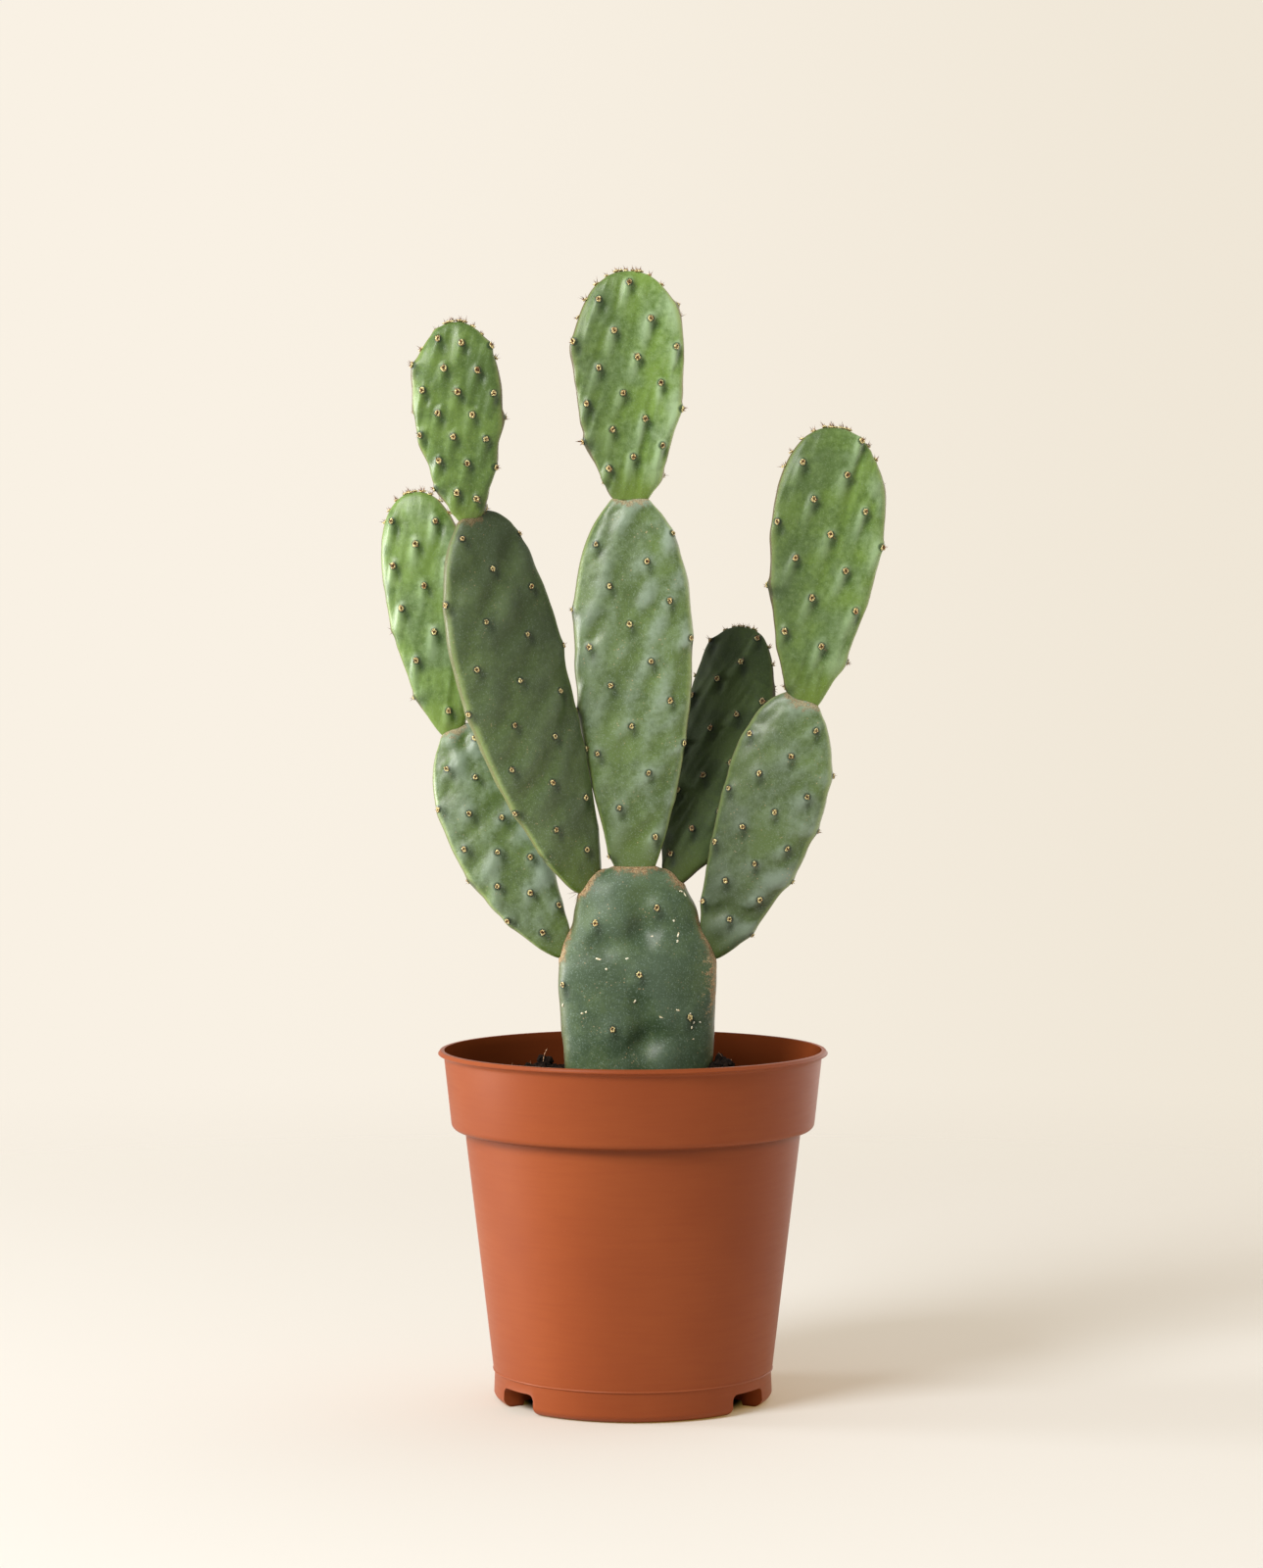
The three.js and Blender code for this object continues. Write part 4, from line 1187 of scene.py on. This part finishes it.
def cutAway(target, cutters):
    for cutter in cutters:
        modifier = target.modifiers.new("cut", "BOOLEAN")
        modifier.operation = "DIFFERENCE"
        modifier.solver = "EXACT"
        modifier.object = cutter
    graph = bpy.context.evaluated_depsgraph_get()
    mesh = bpy.data.meshes.new_from_object(target.evaluated_get(graph), depsgraph=graph)
    target.modifiers.clear()
    target.data = mesh
    for cutter in cutters:
        bpy.data.objects.remove(cutter)


def makePlastic(name, gloss):
    material, shader, graph = newMaterial(name, {"IOR": 1.46, "Specular IOR Level": gloss})
    place = inMillimetres(graph)
    cloud = graph.noise(place, 0.018, 3.0)
    flow = graph.noise(graph.vector("MULTIPLY", place, (0.05, 0.05, 0.6)), 1.0, 4.0)
    grain = graph.noise(place, 3.0, 3.0, 0.65)
    colour = graph.tint(graph.ease(cloud, 0.3, 0.7), srgb(139, 67, 32), srgb(145, 72, 35))
    colour = graph.tint(graph.ease(flow, 0.35, 0.75) * 0.25, colour, srgb(132, 60, 31))
    dust = graph.ease(graph.noise(place, 0.9, 5.0, 0.7), 0.6, 0.78)
    colour = graph.tint(dust * 0.14, colour, srgb(182, 128, 96))
    split = graph.add("ShaderNodeSeparateXYZ", {}, {0: place})
    flat = graph.add("ShaderNodeCombineXYZ", {}, {0: split, 1: split.other(1)})
    reach = graph.vector("LENGTH", flat).other("Value")
    height = split.other(2)
    if name == "pot_inside_shaded":
        # The inside is a shaded copy of the plastic: painted shade on the inner wall.
        colour = graph.tint(0.58, colour, srgb(46, 17, 7))
    else:
        # Painted light and shade on the outside: a painted highlight along the seam's ledge, painted
        # shadow under the band, painted shade inside the foot's channels and a painted contact shadow
        # along the bottom of the foot.
        line = 1 - graph.ease(abs(height - pot["seamHeight"] - 0.15), 0.15, 0.4)
        colour = graph.tint(line * 0.12, colour, srgb(196, 130, 98))
        under = graph.ease(height, pot["bandLow"] - 4.5, pot["bandLow"])
        under = under * graph.ease(height, pot["bandLow"] + 1, pot["bandLow"] + 0.2)
        hidden = graph.ease(reach, 54.0, 50.0) * graph.ease(height, 13.0, 11.0)
        foot = graph.ease(height, 1.5, 0.1)
        dark = under.maths("MAXIMUM", under * 0.35, hidden * 0.6)
        dark = dark.maths("MAXIMUM", dark, foot * 0.55)
        colour = graph.tint(dark, colour, srgb(62, 24, 11))
    rough = 0.42 + (grain - 0.5) * 0.12 + dust * 0.1 + (flow - 0.5) * 0.08
    normal = bumped(graph, grain * 0.4 + flow * 0.3, 0.12, 0.25)
    connect(graph, shader, {"Base Color": colour, "Roughness": rough, "Normal": normal})
    return material


potBody = turned("pot_shell", potProfile(), pot["sides"])
hollow = turned("pot_hollow", insideProfile(), pot["sides"])
cutAway(hollow, [channelBlock("roof", angle, pot["wall"]) for angle in channel["angles"]])
cutters = [channelBlock("channel", angle, 0) for angle in channel["angles"]]
cutters += [drainHole("drain", angle) for angle in channel["angles"]]
cutAway(potBody, [hollow, *cutters])
potBody.data.shade_smooth()
potBody.data.set_sharp_from_angle(angle=math.radians(32))
potBody.data.materials.clear()
potBody.data.materials.append(makePlastic("pot_plastic", 0.2))
potBody.data.materials.append(makePlastic("pot_inside_shaded", 0.0))
# Inward faces above the band's lower height take the shaded copy.
for face in potBody.data.polygons:
    x, y, height = face.center
    inward = -(face.normal.x * x + face.normal.y * y) / max(math.hypot(x, y), 0.001)
    face.material_index = int(height > pot["bandLow"] * millimetre and inward > 0.3)
finishPiece(potBody, "pot_plastic", "pot")
print("pot made:", len(potBody.data.polygons), "faces")

# ---- soil ----

soil = {
    "wallHeight": 137.0, "trunkHeight": 146.0, "mound": 62.0, "roll": 1.3,
    "radius": 78.7, "floor": 12.5, "sides": 144, "rows": 56, "lumps": 0.8,
    "heap": 8.6,  # beside the trunk
    "hollow": 3.5,  # before it
}
crumbForm = {"Density": 0.34, "Smallest": 0.5, "Largest": 2.9}
fibreForm = {"Density": 0.008, "Length": 5.0, "Thickness": 0.12}


def soilHeight(radius, angle):
    share = np.minimum(1, radius / soil["mound"])
    mound = mixed(soil["trunkHeight"], soil["wallHeight"], share * share * (3 - 2 * share))
    waves = np.sin(3 * angle + radius / 9) + np.sin(5 * angle - radius / 6 + 1.7)
    x, y = radius * np.cos(angle), radius * np.sin(angle)
    heap = np.exp(-(((np.abs(x) - 39) / 5.5) ** 2) - (y / 13) ** 2)
    hollow = np.exp(-(((y + 16) / 9) ** 2) - (x / 34) ** 4)
    rolled = soil["roll"] * 0.5 * waves * np.minimum(1, radius / 20)
    return mound + rolled + soil["heap"] * heap - soil["hollow"] * hollow


# Lumps of seeded waves on the soil's surface.
def soilLumps(x, y):
    rng = np.random.default_rng(77)
    total = np.zeros_like(x)
    for _ in range(24):
        heading = rng.uniform(0, 2 * math.pi)
        wave = 2 * math.pi / rng.uniform(4, 13)
        total += np.sin((x * math.cos(heading) + y * math.sin(heading)) * wave + rng.uniform(0, 6))
    return soil["lumps"] * total / math.sqrt(12) * 0.6


def makeSoil():
    fixed = {"Roughness": 0.97, "Specular IOR Level": 0.1}
    material, shader, graph = newMaterial("potting_soil", fixed)
    place = inMillimetres(graph)
    lump = graph.noise(place, 0.5, 4.0, 0.7)
    grain = graph.noise(place, 2.4, 4.0, 0.7)
    colour = graph.tint(graph.ease(lump, 0.35, 0.7), srgb(16, 11, 9), srgb(46, 34, 26))
    colour = graph.tint(graph.ease(grain, 0.62, 0.8) * 0.5, colour, srgb(112, 80, 54))
    connect(
        graph, shader, {"Base Color": colour, "Normal": bumped(graph, grain + lump * 0.6, 0.8, 0.8)}
    )
    return material


def soilTop():
    ring = 2 * math.pi * np.arange(soil["sides"]) / soil["sides"]
    reach = soil["radius"] * (1 - np.arange(soil["rows"]) / soil["rows"])
    radius, angle = (grid.ravel() for grid in np.meshgrid(reach, ring, indexing="ij"))
    x, y = radius * np.cos(angle), radius * np.sin(angle)
    z = soilHeight(radius, angle) + soilLumps(x, y) * np.clip((soil["radius"] - radius) / 4, 0.2, 1)
    return np.stack([x, y, z], 1), ring


soilSkin = makeSoil()
topPoints, ring = soilTop()
bedWalls = ((pot["seamRadius"] - pot["wall"] - 0.4, soil["floor"]), (71.6, 118.4), (77.4, 121.8))
walls = []
for radius, height in bedWalls:
    walls.append(np.stack([radius * np.cos(ring), radius * np.sin(ring), np.full(len(ring), height)], 1))
centreTop = [0, 0, float(soilHeight(0.0, 0.0))]
bedPoints = np.concatenate([[[0, 0, soil["floor"]]], *walls, topPoints, [centreTop]])
bed = newObject("soil_bed", newMesh("soil_bed", bedPoints, skinFaces(3 + soil["rows"], soil["sides"])))
bed.data.materials.append(soilSkin)
finishPiece(bed, "potting_soil", "soil")


# The top of the soil alone, for what lies on it, left out before the trunk if aside is set.
def topCarrier(name, aside=False):
    faces = []
    for row in range(soil["rows"] - 1):
        low = row * soil["sides"]
        for j in range(soil["sides"]):
            k = (j + 1) % soil["sides"]
            x, y = topPoints[low + j][:2]
            if not aside or abs(x) > 38 or y > 20:
                faces.append((low + j, low + k, low + k + soil["sides"], low + j + soil["sides"]))
    return newMesh(name, topPoints, faces)


# Irregular crumbs, many small and few large.
def crumbTree(material):
    numbers = {"Density": 1e5, "Smallest": 0.0005, "Largest": 0.003}
    tree, graph, inputs = newTree("crumbs", numbers)
    values = {"Mesh": inputs["Geometry"], "Density": inputs["Density"], "Seed": 21}
    points = graph.add("GeometryNodeDistributePointsOnFaces", {}, values)
    chance = randomNumber(graph, 0.0, 1.0, 22)
    size = inputs["Smallest"] + (inputs["Largest"] - inputs["Smallest"]) * chance**5.0
    squash = randomVector(graph, 0.65, 1.25, 23)
    crumb = graph.add("GeometryNodeMeshIcoSphere", {}, {"Radius": 1.0, "Subdivisions": 1})
    values = {
        "Points": points,
        "Instance": crumb,
        "Rotation": randomVector(graph, 0.0, 2 * math.pi, 24),
        "Scale": graph.scaled(squash, size),
    }
    placed = graph.add("GeometryNodeInstanceOnPoints", {}, values)
    solid = graph.add("GeometryNodeRealizeInstances", {}, {"Geometry": placed})
    place = graph.add("GeometryNodeInputPosition")
    rough = graph.noise(place, 700.0, 1.0, out="Color")
    shift = graph.scaled(graph.vector("SUBTRACT", rough, (0.5, 0.5, 0.5)), 0.0016)
    solid = graph.add("GeometryNodeSetPosition", {}, {"Geometry": solid, "Offset": shift})
    solid = graph.add("GeometryNodeSetMaterial", {}, {"Geometry": solid, "Material": material})
    finishTree(graph, solid)
    return tree


# Bent fibres that lie on the soil or stick up out of it.
def fibreTree(material):
    numbers = {"Density": 1e4, "Length": 0.009, "Thickness": 0.0002}
    tree, graph, inputs = newTree("fibres", numbers)
    values = {"Mesh": inputs["Geometry"], "Density": inputs["Density"], "Seed": 41}
    points = graph.add("GeometryNodeDistributePointsOnFaces", {}, values)
    length = inputs["Length"]
    half = graph.add("ShaderNodeCombineXYZ", {}, {0: length * 0.12, 1: 0.0, 2: length * 0.55})
    far = graph.add("ShaderNodeCombineXYZ", {}, {0: length * 0.45, 1: 0.0, 2: length * 0.9})
    values = {"Resolution": 6, "Start": (0, 0, -0.001), "Middle": half, "End": far}
    bend = graph.add("GeometryNodeCurveQuadraticBezier", {}, values)
    values = {"Resolution": 4, "Radius": inputs["Thickness"]}
    section = graph.add("GeometryNodeCurvePrimitiveCircle", {}, values)
    values = {"Curve": bend, "Profile Curve": section, "Fill Caps": True}
    fibre = graph.add("GeometryNodeCurveToMesh", {}, values)
    spin = randomVector(graph, -1.25, 1.25, 42)
    yaw = graph.add("ShaderNodeCombineXYZ", {}, {2: randomNumber(graph, 0.0, 2 * math.pi, 43)})
    values = {
        "Points": points,
        "Instance": fibre,
        "Rotation": graph.vector("ADD", spin, yaw),
        "Scale": randomNumber(graph, 0.5, 1.3, 44),
    }
    placed = graph.add("GeometryNodeInstanceOnPoints", {}, values)
    solid = graph.add("GeometryNodeRealizeInstances", {}, {"Geometry": placed})
    solid = graph.add("GeometryNodeSetMaterial", {}, {"Geometry": solid, "Material": material})
    finishTree(graph, solid)
    return tree


def onSoil(name, tree, form, aside=False):
    values = {key: value * millimetre for key, value in form.items()}
    values["Density"] = form["Density"] / millimetre**2
    piece = grown(name, tree, topCarrier(name, aside), values)
    finishPiece(piece, "potting_soil")
    print(name, len(piece.data.polygons), "faces")


onSoil("soil_crumbs", crumbTree(soilSkin), crumbForm)
fibreSkin = makeBristle("peat_fibre", srgb(140, 96, 66), srgb(216, 172, 134), 0.8)
onSoil("soil_fibres", fibreTree(fibreSkin), fibreForm, True)

# ---- roots ----


def makeRootSkin():
    material, shader, graph = newMaterial("root_skin", {"Roughness": 0.85})
    place = inMillimetres(graph)
    strand = graph.noise(graph.vector("MULTIPLY", place, (1.2, 1.2, 0.2)), 1.0, 4.0)
    colour = graph.tint(graph.ease(strand, 0.35, 0.65), srgb(106, 80, 52), srgb(158, 126, 86))
    connect(graph, shader, {"Base Color": colour, "Normal": bumped(graph, strand, 0.6, 0.5)})
    return material


rootNode = frame["nodes"]["roots"]
rootNode.data.materials.clear()
rootNode.data.materials.append(makeRootSkin())

# ---- floor, light and camera ----

studio = {
    "floorColour": (0.572, 0.612, 0.645, 1.0),
    "floorGlow": (0.212, 0.122, 0.02, 1.0),  # lightens and warms the shadows on the floor
    "clear": (0.35, 1.28),  # the floor fades into the background between these radii, in metres
    "backLeft": srgb(249, 241, 228),
    "backRight": srgb(239, 230, 214),
    "fill": 0.5,
    "fillRight": 1.6,  # how much stronger the soft light is from one side
    "fillFrom": (0.7, 0.71, 0.0),  # that side: the right, a little behind
    "fillColour": srgb(255, 250, 242),
    "key": {"place": (-1.76, -1.79, 1.9), "size": 1.3, "power": 86.0, "colour": srgb(255, 254, 252)},
    "window": {"place": (-2.98, 0.26, 0.36), "size": 1.0, "power": 92.0, "colour": srgb(255, 254, 252)},
}


def makeFloor():
    material, shader, graph = newMaterial("floor_paper", {"Roughness": 0.9})
    place = graph.add("ShaderNodeTexCoord", out="Object")
    reach = graph.vector("LENGTH", place).other("Value")
    fade = graph.ease(reach, *studio["clear"])
    cloud = graph.ease(graph.noise(place, 3.0, 2.0), 0.3, 0.7)
    paper = studio["floorColour"]
    colour = graph.tint(cloud * 0.04, paper, tuple(share * 0.9 for share in paper[:3]) + (1.0,))
    clear = graph.ease(reach, 0.046, 0.056)  # painted shadow: the floor is dark under the pot, where it shows through the foot's channels
    colour = graph.tint(clear, (0.02, 0.015, 0.01, 1.0), colour)
    glow = graph.tint(clear, (0.0, 0.0, 0.0, 1.0), studio["floorGlow"])
    shader.inputs["Emission Strength"].default_value = 1.0
    connect(graph, shader, {"Base Color": colour, "Emission Color": glow, "Alpha": 1 - fade})
    return material


floorMesh = bmesh.new()
bmesh.ops.create_circle(floorMesh, cap_ends=True, segments=96, radius=1.3)
floorData = bpy.data.meshes.new("floor")
floorMesh.to_mesh(floorData)
floorMesh.free()
floor = newObject("floor", floorData)
floorData.materials.append(makeFloor())


def makeWorld():
    world = bpy.data.worlds.new("studio")
    world.use_nodes = True
    bpy.context.scene.world = world
    graph = Graph(world.node_tree)
    back = world.node_tree.nodes["Background"]
    output = world.node_tree.nodes["World Output"]
    direction = graph.add("ShaderNodeTexCoord", out="Generated")
    split = graph.add("ShaderNodeSeparateXYZ", {}, {0: direction})
    # The backdrop that the camera sees is darker towards the right: painted shade, as the light falls
    # off.
    share = graph.ease(split, -0.12, 0.2)
    paper = graph.tint(share, studio["backLeft"], studio["backRight"])
    seen = graph.add("ShaderNodeBackground", {}, {0: paper})
    back.inputs["Color"].default_value = studio["fillColour"]
    right = graph.vector("DOT_PRODUCT", direction, studio["fillFrom"]).other("Value")
    right = right.maths("MAXIMUM", right, 0.0) ** 3.0
    strength = studio["fill"] + right * studio["fillRight"]
    world.node_tree.links.new(strength.socket, back.inputs["Strength"])
    camera = graph.add("ShaderNodeLightPath", out="Is Camera Ray")
    chosen = graph.add("ShaderNodeMixShader", {}, {0: camera, 1: Wire(graph, back), 2: seen})
    world.node_tree.links.new(chosen.socket, output.inputs["Surface"])


# A round soft light that is aimed at the plant.
def makeLight(name):
    look = studio[name]
    data = bpy.data.lights.new(name, "AREA")
    data.shape = "DISK"
    data.size = look["size"]
    data.energy = look["power"]
    data.color = look["colour"][:3]
    light = newObject(name, data)
    light.location = look["place"]
    aim = Vector((0, 0, 0.25)) - light.location
    light.rotation_euler = aim.to_track_quat("-Z", "Y").to_euler()
    light.visible_camera = False


view = {"place": (-0.00064, -1.706, 0.3315), "down": 2.108, "lens": 90.0}
cameraData = bpy.data.cameras.new("camera")
cameraData.lens = view["lens"]
cameraData.sensor_width = 36.0
camera = newObject("camera", cameraData)
camera.location = view["place"]
camera.rotation_euler = (math.radians(90 - view["down"]), 0, 0)
bpy.context.scene.camera = camera
makeWorld()
makeLight("key")
makeLight("window")
bpy.context.scene.view_settings.view_transform = "Standard"
print("studio made")
